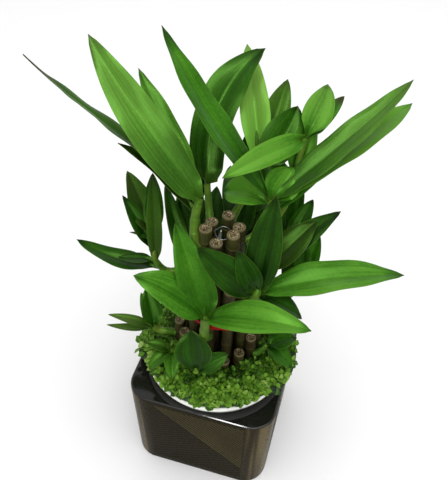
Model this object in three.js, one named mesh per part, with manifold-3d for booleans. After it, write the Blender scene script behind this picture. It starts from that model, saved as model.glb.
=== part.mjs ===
// Lucky bamboo in a square pot: three tiers of cut canes, each cane carrying green leafy shoots.
// Millimetres, +Z up. The origin is the middle of the pot's underside, and the front is -Y.
import * as THREE from "three";
import { mergeVertices } from "three/addons/utils/BufferGeometryUtils.js";
import Module from "manifold-3d";

const wasm = await Module();
wasm.setup();

// ---- driving dimensions ----
const GAP = 0.3; // kept between any two pieces that touch
const POT = { side: 150, baseSide: 144, height: 122, corner: 24, wall: 3, floor: 4, mouth: 69.5, bevel: 2.5 };
const LINER = { lip: 73.5, lipHeight: 12, throat: 66, foot: 56, floorZ: 12, wall: 2.4, bead: 3, sides: 30 };
const SOIL = { depth: 46, top: POT.height + 5, play: 0.5, sidePlay: 0.5, footPlay: 1.2, holeOvershoot: 10 };
const COVER = {
  inner: 44.2,
  outer: 74,
  sides: 30,
  crest: 155,
  rim: 138,
  shoulder: 2.2, // how square the mound's profile is
  lipPlay: 2,
  undercut: 3,
  sideBulge: 9,
  bulgeFrom: 0.78, // the sine of the angle off the front where the side bulge starts, and where it is full
  bulgeFull: 0.93,
  backBulge: 4.5,
  tuft: 1.5,
  sink: 1.5, // how far the mound itself lies below the leaflets' middles
  rows: [0.93, 0.8, 0.62, 0.44, 0.26, 0.08, 0],
};
const LEAFLET = { count: 65, length: 12, width: 6, thickness: 2.4, margin: 4, sink: 0.3 };
const LEAFLET_TILT = { least: 28, most: 58 };
const CANE = { ridge: 0.6, ridgeRise: 1.6, sides: 7, nodeSpacing: 60, firstNode: 14, dish: 1.4, barkWall: 1.5 };
const TIERS = {
  low: { count: 16, ring: 38.2, radius: 5, top: 186, first: 205 },
  mid: { count: 10, ring: 27.8, radius: 5, top: 254, first: 302 },
  top: { count: 6, ring: 14.5, radius: 5.6, top: 305, first: 25 },
};
// How far each cut end lies above its tier's top, cane by cane.
const CUTS = {
  low: [0, 0, -2, -18, -22, -15, -4, 1, -3, 2, -5, 0, 3, -4, 1, -2],
  mid: [0, -4, 2, -3, 3, -2, 1, 28, -3, 2],
  top: [0, 3, -3, 2, -4, 4],
};
const STEM = { radius: 3.6, sides: 6 };
const LEAF = { thickness: 0.8, fold: 16, foot: 0.26, widest: 0.4, tipWidth: 0.05, steps: 24 };
const LEAF_CURVE = { droop: 1.3, foot: 1.2, tip: 2.1 }; // powers: how late a leaf sinks, widens and narrows
const LONG_BLADE = { over: 104, stations: [0, 3, 8, 14, 20, 24] };
const SHORT_BLADE = { stations: [0, 5, 12, 19, 24] };
const RIBBON = { width: 5, thickness: 0.8, sides: 24, heights: { mid: 208, top: 266 } };
const HOOP = { width: 1, thickness: 0.8, z: 299, sides: 16 };

const COLOURS = {
  pot: [0x24211d, 0.15],
  liner: [0xf2f2ee, 0.4],
  soil: [0x2b2018, 0.95],
  cover: [0x5da034, 0.6],
  cane: [0x5a5a34, 0.6],
  leaf: [0x3c8a26, 0.4],
  ribbon: [0xb0241c, 0.5],
  wire: [0x8a8a84, 0.4],
};

const part = new THREE.Group();
const radians = THREE.MathUtils.degToRad;

// ---- helpers ----
function addMesh(name, geometry, [colour, roughness], metalness = 0) {
  const material = new THREE.MeshStandardMaterial({ color: colour, roughness, metalness });
  const mesh = new THREE.Mesh(geometry, material);
  mesh.name = name;
  part.add(mesh);
  return mesh;
}

function solidOf(geometry) {
  const bare = geometry.clone();
  bare.deleteAttribute("normal");
  bare.deleteAttribute("uv");
  const merged = mergeVertices(bare, 1e-3);
  return new wasm.Manifold(
    new wasm.Mesh({
      numProp: 3,
      vertProperties: new Float32Array(merged.attributes.position.array),
      triVerts: new Uint32Array(merged.index.array),
    }),
  );
}

function geometryOf(solid) {
  const mesh = solid.getMesh();
  const geometry = new THREE.BufferGeometry();
  geometry.setAttribute("position", new THREE.BufferAttribute(mesh.vertProperties, 3));
  geometry.setIndex(new THREE.BufferAttribute(mesh.triVerts, 1));
  geometry.computeVertexNormals();
  return geometry;
}

// A turned body round +Z from [radius, z] pairs that start and end on the axis or close on themselves.
function turned(profile, sides) {
  const points = profile.map(([radius, z]) => new THREE.Vector2(radius, z));
  return new THREE.LatheGeometry(points, sides).rotateX(Math.PI / 2);
}

function joined(solids) {
  return solids.reduce((whole, piece) => whole.add(piece));
}

// A repeatable random draw in 0..1.
function makeRandom(seed) {
  let state = seed;
  return () => {
    state = (state * 1664525 + 1013904223) % 4294967296;
    return state / 4294967296;
  };
}

// ---- pot, liner and soil ----
function roundedSquare(side, corner) {
  const half = side / 2;
  const shape = new THREE.Shape();
  for (let k = 0; k < 4; k++) {
    const turn = (k * Math.PI) / 2;
    const middle = new THREE.Vector2(half - corner, half - corner).rotateAround(new THREE.Vector2(), turn);
    shape.absarc(middle.x, middle.y, corner, turn, turn + Math.PI / 2, false);
  }
  return shape;
}

// A closed block between rounded squares, given as [side, corner, z] rings from bottom to top.
function squareBlock(rings, cornerSteps) {
  const outlines = rings.map(([side, corner, z]) => {
    const points = roundedSquare(side, corner).getPoints(cornerSteps);
    const open = points.filter((p, i) => i === 0 || p.distanceTo(points[i - 1]) > 1e-6);
    if (open[0].distanceTo(open.at(-1)) < 1e-6) open.pop();
    return open.map((p) => [p.x, p.y, z]);
  });
  const count = outlines[0].length;
  const positions = [...outlines.flat(2), 0, 0, rings[0][2], 0, 0, rings.at(-1)[2]];
  const bottomMiddle = count * rings.length;
  const index = [];
  for (let i = 0; i < count; i++) {
    const next = (i + 1) % count;
    for (let r = 0; r + 1 < rings.length; r++) {
      const [a, b] = [r * count + i, r * count + next];
      index.push(a, b, b + count, a, b + count, a + count);
    }
    const top = (rings.length - 1) * count;
    index.push(bottomMiddle, next, i, bottomMiddle + 1, top + i, top + next);
  }
  const geometry = new THREE.BufferGeometry();
  geometry.setAttribute("position", new THREE.Float32BufferAttribute(positions, 3));
  geometry.setIndex(index);
  return geometry;
}

function makePot() {
  const { side, baseSide, height, corner, wall, floor, mouth, bevel } = POT;
  const outside = solidOf(
    squareBlock(
      [
        [baseSide - 2 * bevel, corner - bevel, 0],
        [baseSide, corner, bevel],
        [side, corner, height - bevel],
        [side - 2 * bevel, corner - bevel, height],
      ],
      4,
    ),
  );
  const hollow = solidOf(
    squareBlock(
      [
        [baseSide - 2 * wall, corner - wall, floor],
        [side - 2 * wall, corner - wall, height - wall],
      ],
      4,
    ),
  );
  const mouthCut = solidOf(
    turned(
      [
        [0, height - 2 * wall],
        [mouth, height - 2 * wall],
        [mouth, height + wall],
        [0, height + wall],
      ],
      40,
    ),
  );
  addMesh("outer_pot", geometryOf(outside.subtract(hollow).subtract(mouthCut)), COLOURS.pot);
}

function makeLiner() {
  const { lip, lipHeight, throat, foot, floorZ, wall, bead } = LINER;
  const rest = POT.height + GAP;
  const top = POT.height + lipHeight;
  const profile = [
    [0, floorZ],
    [foot, floorZ],
    [throat + wall, rest],
    [lip - bead, rest + bead / 2],
    [lip, top - bead],
    [lip - bead * 0.4, top],
    [throat, top],
    [throat, rest],
    [foot - wall, floorZ + wall],
    [0, floorZ + wall],
  ];
  addMesh("pot_liner", turned(profile, LINER.sides), COLOURS.liner);
}

// The places of all canes: ring by ring, evenly round the middle.
const canes = Object.entries(TIERS).flatMap(([tier, { count, ring, radius, top, first }]) =>
  Array.from({ length: count }, (_, k) => {
    const turn = radians(first + (360 / count) * k);
    return {
      name: `cane_${tier}_${String(k + 1).padStart(2, "0")}`,
      radius,
      x: ring * Math.cos(turn),
      y: ring * Math.sin(turn),
      top: top + CUTS[tier][k],
    };
  }),
);
const CANE_FOOT = SOIL.top - SOIL.depth + GAP;

// A cane's outline: a node ridge every nodeSpacing down from the cut, and a dished cut end.
function caneProfile(cane, extra = 0) {
  const { top } = cane;
  const radius = cane.radius + extra;
  const profile = [
    [0, CANE_FOOT],
    [radius, CANE_FOOT],
  ];
  const nodes = [];
  for (let z = top - CANE.firstNode; z > COVER.rim; z -= CANE.nodeSpacing) nodes.unshift(z);
  for (const z of nodes) {
    profile.push([radius, z - CANE.ridgeRise], [radius + CANE.ridge, z]);
  }
  profile.push([radius, top + extra]);
  profile.push(extra ? [0, top + extra] : [radius - CANE.barkWall, top], [0, top + extra - CANE.dish]);
  return extra ? profile.slice(0, -1) : profile;
}

function makeCanes() {
  for (const cane of canes) {
    const mesh = addMesh(cane.name, turned(caneProfile(cane), CANE.sides), COLOURS.cane);
    mesh.position.set(cane.x, cane.y, 0);
  }
}

function makeSoil() {
  const edge = LINER.throat - GAP - SOIL.sidePlay;
  const floorRadius = LINER.foot - LINER.wall - SOIL.footPlay;
  const bed = turned(
    [
      [0, LINER.floorZ + LINER.wall + GAP],
      [floorRadius, LINER.floorZ + LINER.wall + GAP],
      [edge, POT.height],
      [edge, SOIL.top],
      [0, SOIL.top],
    ],
    32,
  );
  const holeLength = SOIL.depth + SOIL.holeOvershoot;
  const holes = canes.map(({ x, y, radius }) => {
    const hole = new THREE.CylinderGeometry(radius + SOIL.play, radius + SOIL.play, holeLength, CANE.sides);
    hole.rotateX(Math.PI / 2).translate(x, y, SOIL.top + SOIL.holeOvershoot - holeLength / 2);
    return solidOf(hole);
  });
  addMesh("potting_soil", geometryOf(solidOf(bed).subtract(joined(holes))), COLOURS.soil);
}

// ---- ground cover: a ring-shaped mound that small leaflets stand out of, all over ----
function coverHeight(radius) {
  const t = THREE.MathUtils.clamp((radius - COVER.inner) / (COVER.outer - COVER.inner), 0, 1);
  return COVER.rim + (COVER.crest - COVER.rim) * (1 - t ** COVER.shoulder);
}

// The mound swells over the liner's lip at both sides and at the back, but not at the front.
function swellOutward(geometry) {
  const at = geometry.attributes.position;
  for (let i = 0; i < at.count; i++) {
    const [x, y] = [at.getX(i), at.getY(i)];
    const radius = Math.hypot(x, y);
    const share = Math.max(0, (radius - LINER.throat) / (COVER.outer - LINER.throat));
    const sideways = THREE.MathUtils.smoothstep(Math.abs(x) / radius, COVER.bulgeFrom, COVER.bulgeFull);
    const bulge = Math.max(COVER.sideBulge * sideways, (COVER.backBulge * y) / radius, 0);
    const grown = (radius + bulge * share) / radius;
    at.setXY(i, x * grown, y * grown);
  }
}

// Every other point of the mound's top stands up and the rest sink, so that it is tufted all over.
function roughen(geometry) {
  const at = geometry.attributes.position;
  const rows = at.count / (COVER.sides + 1);
  const overLip = POT.height + LINER.lipHeight + 2 * GAP;
  for (let i = 0; i < at.count; i++) {
    const row = i % rows;
    const column = Math.floor(i / rows) % COVER.sides;
    const radius = Math.hypot(at.getX(i), at.getY(i));
    if (at.getZ(i) < overLip || radius < COVER.inner + 1) continue;
    at.setZ(i, at.getZ(i) + ((row + column) % 2 ? COVER.tuft : -COVER.tuft / 2));
  }
}

function leaflet(size) {
  const { length, width, thickness } = LEAFLET;
  return new THREE.OctahedronGeometry(size).scale(width / 2, length / 2, thickness / 2);
}

function makeGroundCover() {
  const { inner, outer } = COVER;
  const bed = SOIL.top + GAP;
  const overLip = POT.height + LINER.lipHeight + GAP;
  const insideLip = LINER.throat - COVER.lipPlay;
  const profile = [
    [inner, bed],
    [insideLip, bed],
    [insideLip, overLip],
    [outer - COVER.undercut, overLip],
  ];
  for (const share of COVER.rows) {
    const radius = inner + (outer - inner) * share;
    profile.push([radius, coverHeight(radius) - COVER.sink]);
  }
  profile.push([inner, bed]);
  const core = turned(profile, COVER.sides);
  roughen(core);
  swellOutward(core);
  const random = makeRandom(7);
  const goldenAngle = Math.PI * (3 - Math.sqrt(5));
  const [nearest, farthest] = [inner + LEAFLET.margin, outer - LEAFLET.margin];
  const leaflets = Array.from({ length: LEAFLET.count }, (_, k) => {
    const share = (k + 0.5) / LEAFLET.count;
    const radius = Math.sqrt(nearest ** 2 + share * (farthest ** 2 - nearest ** 2));
    const turn = k * goldenAngle;
    const blade = leaflet(0.8 + 0.4 * random());
    blade.rotateX(radians(THREE.MathUtils.lerp(LEAFLET_TILT.least, LEAFLET_TILT.most, random())));
    blade.rotateZ(2 * Math.PI * random());
    blade.translate(radius * Math.cos(turn), radius * Math.sin(turn), coverHeight(radius) - LEAFLET.sink);
    swellOutward(blade);
    return solidOf(blade);
  });
  addMesh("ground_cover", geometryOf(joined([solidOf(core), ...leaflets])), COLOURS.cover);
}

// ---- ties ----
function ringBand(inner, thickness, width, z, sides) {
  return turned(
    [
      [inner, z - width / 2],
      [inner + thickness, z - width / 2],
      [inner + thickness, z + width / 2],
      [inner, z + width / 2],
      [inner, z - width / 2],
    ],
    sides,
  );
}

// A red ribbon goes round the canes of the upper two tiers, and a wire hoop lies inside the top one.
function makeTies() {
  for (const [tier, z] of Object.entries(RIBBON.heights)) {
    const { ring, radius } = TIERS[tier];
    const inner = (ring + radius + CANE.ridge + GAP) / Math.cos(Math.PI / RIBBON.sides);
    const band = ringBand(inner, RIBBON.thickness, RIBBON.width, z, RIBBON.sides);
    addMesh(`ribbon_tie_${tier}`, band, COLOURS.ribbon);
  }
  const inside = TIERS.top.ring - TIERS.top.radius - CANE.ridge - GAP - HOOP.thickness;
  addMesh("wire_hoop", ringBand(inside, HOOP.thickness, HOOP.width, HOOP.z, HOOP.sides), COLOURS.wire, 0.8);
}

// ---- leaves and shoots ----
// The middle line of a leaf: it sets off at turn and rise, and sinks by droop degrees to the tip.
function leafLine({ root, turn, rise, length, droop = 20, sway = 0 }) {
  const points = [root.clone()];
  const directions = [];
  for (let i = 0; i < LEAF.steps; i++) {
    const t = (i + 0.5) / LEAF.steps;
    const pitch = radians(rise - droop * t ** LEAF_CURVE.droop);
    const heading = radians(turn + sway * t);
    const way = new THREE.Vector3(
      Math.cos(pitch) * Math.cos(heading),
      Math.cos(pitch) * Math.sin(heading),
      Math.sin(pitch),
    );
    directions.push(way);
    points.push(points[i].clone().addScaledVector(way, length / LEAF.steps));
  }
  directions.push(directions.at(-1).clone());
  return { points, directions };
}

// Half the blade's width at t, as a share of half the full width.
function bladeShare(t, { foot = LEAF.foot, widest = LEAF.widest }) {
  const { tipWidth } = LEAF;
  if (t < widest) return foot + (1 - foot) * Math.sin((t / widest) * (Math.PI / 2)) ** LEAF_CURVE.foot;
  return tipWidth + (1 - tipWidth) * (1 - ((t - widest) / (1 - widest)) ** LEAF_CURVE.tip);
}

function leafSolid(blade) {
  const { points, directions } = leafLine(blade);
  const { turn, width, sway = 0, roll = 0, twist = 0, fold = LEAF.fold } = blade;
  const half = LEAF.thickness / 2;
  const positions = [];
  const { stations } = blade.length > LONG_BLADE.over ? LONG_BLADE : SHORT_BLADE;
  for (const i of stations) {
    const t = i / LEAF.steps;
    const heading = radians(turn + sway * t);
    const level = new THREE.Vector3(-Math.sin(heading), Math.cos(heading), 0);
    const side = level.applyAxisAngle(directions[i], radians(roll + twist * t));
    const up = directions[i].clone().cross(side);
    const reach = (width / 2) * bladeShare(t, blade);
    const edgeOut = reach * Math.cos(radians(fold));
    const edgeUp = reach * Math.sin(radians(fold));
    for (const face of [half, -half]) {
      for (const across of [1, 0, -1]) {
        const point = points[i].clone().addScaledVector(side, across * edgeOut);
        point.addScaledVector(up, Math.abs(across) * edgeUp + face);
        positions.push(point.x, point.y, point.z);
      }
    }
  }
  const index = [];
  const around = [0, 1, 2, 5, 4, 3]; // once round the blade: over the top face, then back under it
  for (let s = 0; s + 1 < stations.length; s++) {
    for (let k = 0; k < 6; k++) {
      const a = s * 6 + around[k];
      const b = s * 6 + around[(k + 1) % 6];
      // the diagonals of the two faces lie over each other, so the blade keeps its thickness
      if (k < 2) index.push(a, b, a + 6, b, b + 6, a + 6);
      else index.push(a, b, b + 6, a, b + 6, a + 6);
    }
  }
  const last = (stations.length - 1) * 6;
  index.push(0, 3, 1, 1, 3, 4, 1, 4, 2, 2, 4, 5);
  index.push(last, last + 1, last + 3, last + 1, last + 4, last + 3);
  index.push(last + 1, last + 2, last + 4, last + 2, last + 5, last + 4);
  const geometry = new THREE.BufferGeometry();
  geometry.setAttribute("position", new THREE.Float32BufferAttribute(positions, 3));
  geometry.setIndex(index);
  return solidOf(geometry);
}

function stemSolid(curve, steps, radius) {
  const section = new THREE.Shape();
  section.absarc(0, 0, radius, 0, 2 * Math.PI, false);
  const outline = new THREE.Shape(section.getSpacedPoints(STEM.sides).slice(0, STEM.sides));
  return solidOf(new THREE.ExtrudeGeometry(outline, { extrudePath: curve, steps, bevelEnabled: false }));
}

// One leaf: it leaves the stem at way point `from`, counted from the cane, and points to turn and rise.
// Angles are in degrees: droop and sway bend it to its tip, and roll and twist turn its faces.
// foot is its width at the root as a share of the full width, and widest is where along it the full width lies.
function leaf(from, turn, rise, length, width, bend = {}) {
  return { from, turn, rise, length, width, ...bend };
}

// Each shoot grows from one cane at height z and passes the points of its way.
// A shoot with a stouter stem gives its own radius.
const SHOOTS = [
  {
    name: "shoot_top_left",
    cane: "cane_top_04",
    z: 284,
    radius: 4.6,
    way: [[-20, -9, 289], [-24, -3, 306], [-23, 6, 326]],
    leaves: [
      leaf(3, 155, 18, 185, 22, { droop: -39, sway: 49, roll: 20 }),
      leaf(3, 169, 46, 160, 35, { droop: 10, sway: -25, roll: -30, foot: 0.6 }),
      leaf(2.9, 138, 36, 125, 25, { droop: 0 }),
      leaf(2.7, 142, 24, 110, 24, { droop: 0, sway: 19 }),
      leaf(2.4, 141, 28, 90, 18, { droop: -11, sway: 60 }),
    ],
  },
  {
    name: "shoot_top_back_left",
    cane: "cane_top_03",
    z: 286,
    way: [[-18, 22, 296], [-25, 36, 318]],
    leaves: [
      leaf(2, 120, 44, 135, 37, { droop: 6, sway: -90, roll: 18, foot: 0.8, widest: 0.6 }),
      leaf(1.6, 127, 19, 50, 20, { droop: 0, roll: -20 }),
    ],
  },
  {
    name: "shoot_top_back",
    cane: "cane_top_02",
    z: 286,
    way: [[2, 23, 294], [8, 40, 308], [16, 60, 328]],
    leaves: [
      leaf(3, 113, 41, 120, 28, { roll: -8 }),
      leaf(3, 87, 34, 90, 28, { droop: 10, roll: 10 }),
      leaf(3, 54, 33, 65, 36, { droop: -7, sway: 27, roll: 25, foot: 0.5, widest: 0.5 }),
      leaf(2, 109, 29, 100, 18, { droop: 19, sway: -40 }),
    ],
  },
  {
    name: "shoot_top_right",
    cane: "cane_top_01",
    z: 284,
    way: [[25, 16, 288], [42, 40, 300], [51, 69, 362]],
    leaves: [
      leaf(3, 230, 2, 85, 21, { droop: 15, roll: -44, foot: 0.7 }),
      leaf(3, 68, 14, 62, 16, { droop: 8, roll: 22, foot: 0.9 }),
      leaf(3, 75, 24, 60, 27, { droop: 9, sway: 16, roll: 14 }),
      leaf(2.5, 84, 50, 60, 24, { droop: 0, roll: 20, foot: 0.5 }),
      leaf(2, 105, 20, 65, 32, { droop: 0, sway: 28 }),
    ],
  },
  {
    name: "shoot_mid_right",
    cane: "cane_mid_02",
    z: 234,
    radius: 4.2,
    way: [[38, -21, 254], [40, 0, 264], [39, 12, 290], [35, 28, 322]],
    leaves: [
      leaf(4, 173, 44, 168, 28, { droop: -5, sway: -26 }),
      leaf(4, 142, 39, 95, 12, { droop: 15, roll: 60 }),
      leaf(4, 40, 31, 158, 29, { droop: 5, sway: 15, foot: 0.45 }),
      leaf(3.9, 42, 26, 160, 30, { droop: 18, sway: 15, widest: 0.6 }),
      leaf(3.9, 160, 11, 50, 30, { droop: 48, sway: 12, roll: -25, widest: 0.6 }),
      leaf(4, 66, 35, 34, 32, { droop: 0, roll: 24, foot: 0.6, widest: 0.5 }),
      leaf(3.7, 54, 14, 60, 8, { droop: 5, roll: 40 }),
      leaf(1.1, 20, 19, 129, 38, { droop: 25 }),
      leaf(1.9, 57, 24, 92, 24, { droop: 13, sway: -9, roll: 10 }),
      leaf(1.9, 54, 32, 66, 32, { droop: 10 }),
      leaf(1.05, 175, 69, 51, 22, { droop: 5, roll: -60, foot: 0.5 }),
      leaf(1, 199, 49, 74, 30, { droop: 10, sway: -20, roll: -50 }),
      leaf(1, 353, 8, 46, 22, { droop: 50 }),
      leaf(1, 91, 68, 95, 31, { droop: -6, sway: -15, roll: 10, foot: 0.5 }),
    ],
  },
  {
    name: "shoot_mid_front",
    cane: "cane_mid_10",
    z: 190,
    radius: 5,
    way: [[-3, -37, 197], [-2, -42, 213], [-1, -43, 234]],
    leaves: [
      leaf(3, 136, 58, 90, 33, { droop: 5, sway: 6, roll: -18, foot: 0.65, widest: 0.28 }),
      leaf(3, 187, 50, 77, 36, { droop: 35, roll: -15 }),
      leaf(3, 345, 36, 100, 38, { droop: 45, sway: 20 }),
    ],
  },
  {
    name: "shoot_mid_left",
    cane: "cane_mid_07",
    z: 224,
    way: [[-36, 12, 228], [-54, 6, 226], [-66, 6, 238], [-69, 14, 258]],
    leaves: [
      leaf(2.5, 184, -10, 86, 24, { droop: -50 }),
      leaf(1, 126, 37, 86, 18, { droop: 5 }),
      leaf(1, 114, 32, 86, 18, { droop: 5 }),
      leaf(3, 190, -8, 36, 14, { droop: -10 }),
      leaf(4, 127, 23, 72, 28, { droop: -10, sway: 12, widest: 0.35 }),
      leaf(2.9, 109, 78, 90, 15, { droop: 0, foot: 0.6 }),
      leaf(3.4, 145, 44, 60, 18, { droop: 1, sway: 8 }),
      leaf(4, 110, 40, 62, 20, { droop: 5 }),
      leaf(3.9, 183, 20, 24, 5),
    ],
  },
  {
    name: "shoot_mid_back_left",
    cane: "cane_mid_06",
    z: 230,
    way: [[-22, 33, 240], [-34, 40, 258], [-40, 46, 282]],
    leaves: [
      leaf(3, 150, 60, 40, 16, { droop: 10 }),
      leaf(3, 80, 50, 32, 16, { droop: 10 }),
      leaf(2, 120, 20, 80, 24),
      leaf(1, 99, 27, 66, 24, { droop: 5 }),
      leaf(1, 124, 35, 66, 20, { droop: 5 }),
      leaf(1, 84, -8, 38, 26),
    ],
  },
  {
    name: "shoot_mid_back",
    cane: "cane_mid_05",
    z: 228,
    way: [[3, 38, 236], [5, 48, 246]],
    leaves: [
      leaf(2, 112, 25, 92, 28, { droop: 30 }),
      leaf(2, 72, 22, 96, 28, { droop: 30 }),
      leaf(2, 45, 25, 60, 28, { droop: 10 }),
      leaf(1.8, 92, 40, 60, 22),
    ],
  },
  {
    name: "shoot_mid_back_right",
    cane: "cane_mid_04",
    z: 230,
    way: [[26, 32, 240], [42, 40, 250], [54, 42, 262]],
    leaves: [
      leaf(3, 70, 45, 46, 20, { droop: 10 }),
      leaf(2.5, 99, 35, 64, 22, { droop: 5 }),
      leaf(2.5, 84, 30, 62, 16, { droop: 5 }),
    ],
  },
  {
    name: "shoot_low_left",
    cane: "cane_low_01",
    z: 164,
    way: [[-46, -20, 167], [-55, -22, 168], [-60, -23, 172]],
    leaves: [
      leaf(3, 190, 20, 46, 12, { droop: 10 }),
      leaf(3, 200, -5, 46, 10, { droop: -30 }),
      leaf(3, 134, 35, 36, 14, { droop: -5 }),
      leaf(2.6, 128, 50, 41, 22, { droop: 5 }),
    ],
  },
  {
    name: "shoot_low_front_left",
    cane: "cane_low_02",
    z: 156,
    way: [[-32, -34, 159], [-38, -37, 161]],
    leaves: [
      leaf(2, 185, 25, 26, 14, { droop: 30 }),
      leaf(2, 235, 0, 28, 16, { droop: 50 }),
      leaf(1.8, 290, 0, 30, 16, { droop: 40 }),
    ],
  },
  {
    name: "shoot_low_front",
    cane: "cane_low_03",
    z: 160,
    way: [[-9, -47, 161], [-5, -58, 170]],
    leaves: [
      leaf(2, 122, 70, 44, 36, { droop: 10, roll: -20, widest: 0.5 }),
      leaf(2, 30, 39, 36, 20, { roll: 50 }),
    ],
  },
  {
    name: "shoot_low_right",
    cane: "cane_low_07",
    z: 158,
    way: [[43, -14, 160], [47, -10, 162], [51, -6, 166]],
    leaves: [
      leaf(3, 30, 12, 30, 24),
      leaf(3, 335, 5, 34, 20, { droop: 50 }),
    ],
  },
  {
    name: "shoot_low_back_right",
    cane: "cane_low_09",
    z: 172,
    way: [[46, 24, 184], [60, 34, 196], [70, 42, 210]],
    leaves: [
      leaf(3, 79, 43, 52, 20, { droop: 10 }),
      leaf(3, 100, 50, 44, 18, { droop: 10 }),
      leaf(2, 95, 30, 80, 22, { droop: 30 }),
    ],
  },
  {
    name: "shoot_low_back",
    cane: "cane_low_11",
    z: 170,
    way: [[14, 44, 178], [16, 54, 186]],
    leaves: [
      leaf(2, 70, 20, 84, 24, { droop: 30 }),
      leaf(2, 110, 25, 76, 22, { droop: 30 }),
    ],
  },
  {
    name: "shoot_low_back_left",
    cane: "cane_low_13",
    z: 170,
    way: [[-22, 42, 178], [-28, 50, 186]],
    leaves: [
      leaf(2, 120, 25, 84, 22, { droop: 30 }),
      leaf(2, 150, 30, 60, 20, { droop: 30 }),
    ],
  },
];

function makeShoots() {
  for (const { name, cane: caneName, z, radius = STEM.radius, way, leaves } of SHOOTS) {
    const cane = canes.find((one) => one.name === caneName);
    const points = [[cane.x, cane.y, z], ...way].map((point) => new THREE.Vector3(...point));
    const curve = new THREE.CatmullRomCurve3(points);
    const blades = leaves.map((one) => leafSolid({ ...one, root: curve.getPoint(one.from / way.length) }));
    const socket = turned(caneProfile(cane, GAP), CANE.sides).translate(cane.x, cane.y, 0);
    const grown = joined([stemSolid(curve, way.length, radius), ...blades]).subtract(solidOf(socket));
    addMesh(name, geometryOf(grown), COLOURS.leaf);
  }
}

makePot();
makeLiner();
makeSoil();
makeGroundCover();
makeCanes();
makeTies();
makeShoots();

export default part;
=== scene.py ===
import math
import random

import bmesh
import bpy
import numpy as np
from mathutils import Matrix, Vector, noise


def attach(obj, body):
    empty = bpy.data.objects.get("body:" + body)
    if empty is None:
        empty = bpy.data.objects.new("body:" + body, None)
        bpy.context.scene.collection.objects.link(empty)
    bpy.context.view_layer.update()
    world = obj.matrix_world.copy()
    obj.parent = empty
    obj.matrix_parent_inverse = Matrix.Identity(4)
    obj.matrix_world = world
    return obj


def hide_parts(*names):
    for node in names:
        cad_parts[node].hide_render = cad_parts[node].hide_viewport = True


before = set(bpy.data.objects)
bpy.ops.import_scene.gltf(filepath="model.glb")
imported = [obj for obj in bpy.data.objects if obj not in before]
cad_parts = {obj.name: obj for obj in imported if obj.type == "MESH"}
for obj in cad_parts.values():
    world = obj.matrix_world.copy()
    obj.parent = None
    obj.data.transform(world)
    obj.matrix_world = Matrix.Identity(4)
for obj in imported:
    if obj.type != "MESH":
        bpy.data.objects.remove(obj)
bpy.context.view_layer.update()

MM = 0.001

# ---- sizes that repeat the part's own, in millimetres and degrees ----
POT = {
    "side": 150, "base_side": 144, "height": 122, "corner": 24,
    "wall": 3, "floor": 4, "mouth": 69.5, "bevel": 2.5,
}
LINER = {"lip": 73.5, "top": 134, "throat": 66, "foot": 56, "floor_z": 12, "wall": 2.4, "bead": 3}
SOIL_TOP = 127
MOUND = {"inner": 44.2, "outer": 74, "crest": 155, "rim": 138, "side_bulge": 9, "back_bulge": 4.5}
CANE_FOOT = 81.3
# The canes of a tier stand on a circle of radius "ring", the first of them at the angle "first". Each is cut
# at the height "top" plus its own number in "cuts". A low tone is brown bark and a high one green.
TIERS = {
    "low": {
        "count": 16, "ring": 38.2, "radius": 5, "top": 186, "first": 205,
        "cuts": (0, 0, -2, -18, -22, -15, -4, 1, -3, 2, -5, 0, 3, -4, 1, -2),
        "tones": (
            0.30, 0.62, 0.86, 0.95, 0.45, 0.25, 0.15, 0.30,
            0.40, 0.50, 0.35, 0.55, 0.30, 0.45, 0.50, 0.35,
        ),
    },
    "mid": {
        "count": 10, "ring": 27.8, "radius": 5, "top": 254, "first": 302,
        "cuts": (0, -4, 2, -3, 3, -2, 1, 28, -3, 2),
        "tones": (0.20, 0.35, 0.30, 0.50, 0.40, 0.60, 0.45, 0.55, 0.30, 0.25),
    },
    "top": {
        "count": 6, "ring": 14.5, "radius": 5.6, "top": 305, "first": 25,
        "cuts": (0, 3, -3, 2, -4, 4),
        "tones": (0.35, 0.45, 0.30, 0.50, 0.25, 0.40),
    },
}
RIBBON = {"width": 5, "clearance": 0.75, "thickness": 0.45, "heights": {"mid": 208, "top": 266}}
WIRE = {"ring": 7.6, "radius": 0.5, "height": 299}


def cane_axis(tier, k):
    """Where the axis of the tier's cane k, counted from 0, stands, in mm."""
    facts = TIERS[tier]
    turn = math.radians(facts["first"] + 360 / facts["count"] * k)
    return facts["ring"] * math.cos(turn), facts["ring"] * math.sin(turn)


# ---- working by hand in the viewport ----
def deselect_all():
    if bpy.context.object and bpy.context.object.mode != "OBJECT":
        bpy.ops.object.mode_set(mode="OBJECT")
    bpy.ops.object.select_all(action="DESELECT")


def pick(*pieces):
    deselect_all()
    for piece in pieces:
        piece.select_set(True)
    bpy.context.view_layer.objects.active = pieces[0]


def name_piece(name):
    piece = bpy.context.object
    piece.name = name
    piece.data.name = name
    return piece


def edit():
    bpy.ops.object.mode_set(mode="EDIT")


def leave_edit():
    bpy.ops.object.mode_set(mode="OBJECT")


def select_all():
    bpy.ops.mesh.select_all(action="SELECT")


def select_parts(piece, kind, parts, test):
    """In edit mode, selects just those faces or edges of the piece that pass the test."""
    bpy.ops.mesh.select_mode(type=kind)
    bpy.ops.mesh.select_all(action="DESELECT")
    for part in getattr(bmesh.from_edit_mesh(piece.data), parts):
        part.select_set(test(part))
    bmesh.update_edit_mesh(piece.data)


def select_faces(piece, test):
    select_parts(piece, "FACE", "faces", lambda face: test(face.calc_center_median(), face.normal))


def select_edges(piece, test):
    select_parts(piece, "EDGE", "edges", lambda edge: test(edge.verts[0].co, edge.verts[1].co))


def settle(piece):
    """The piece's place goes into its mesh."""
    pick(piece)
    bpy.ops.object.transform_apply(location=True, rotation=True, scale=True)


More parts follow.
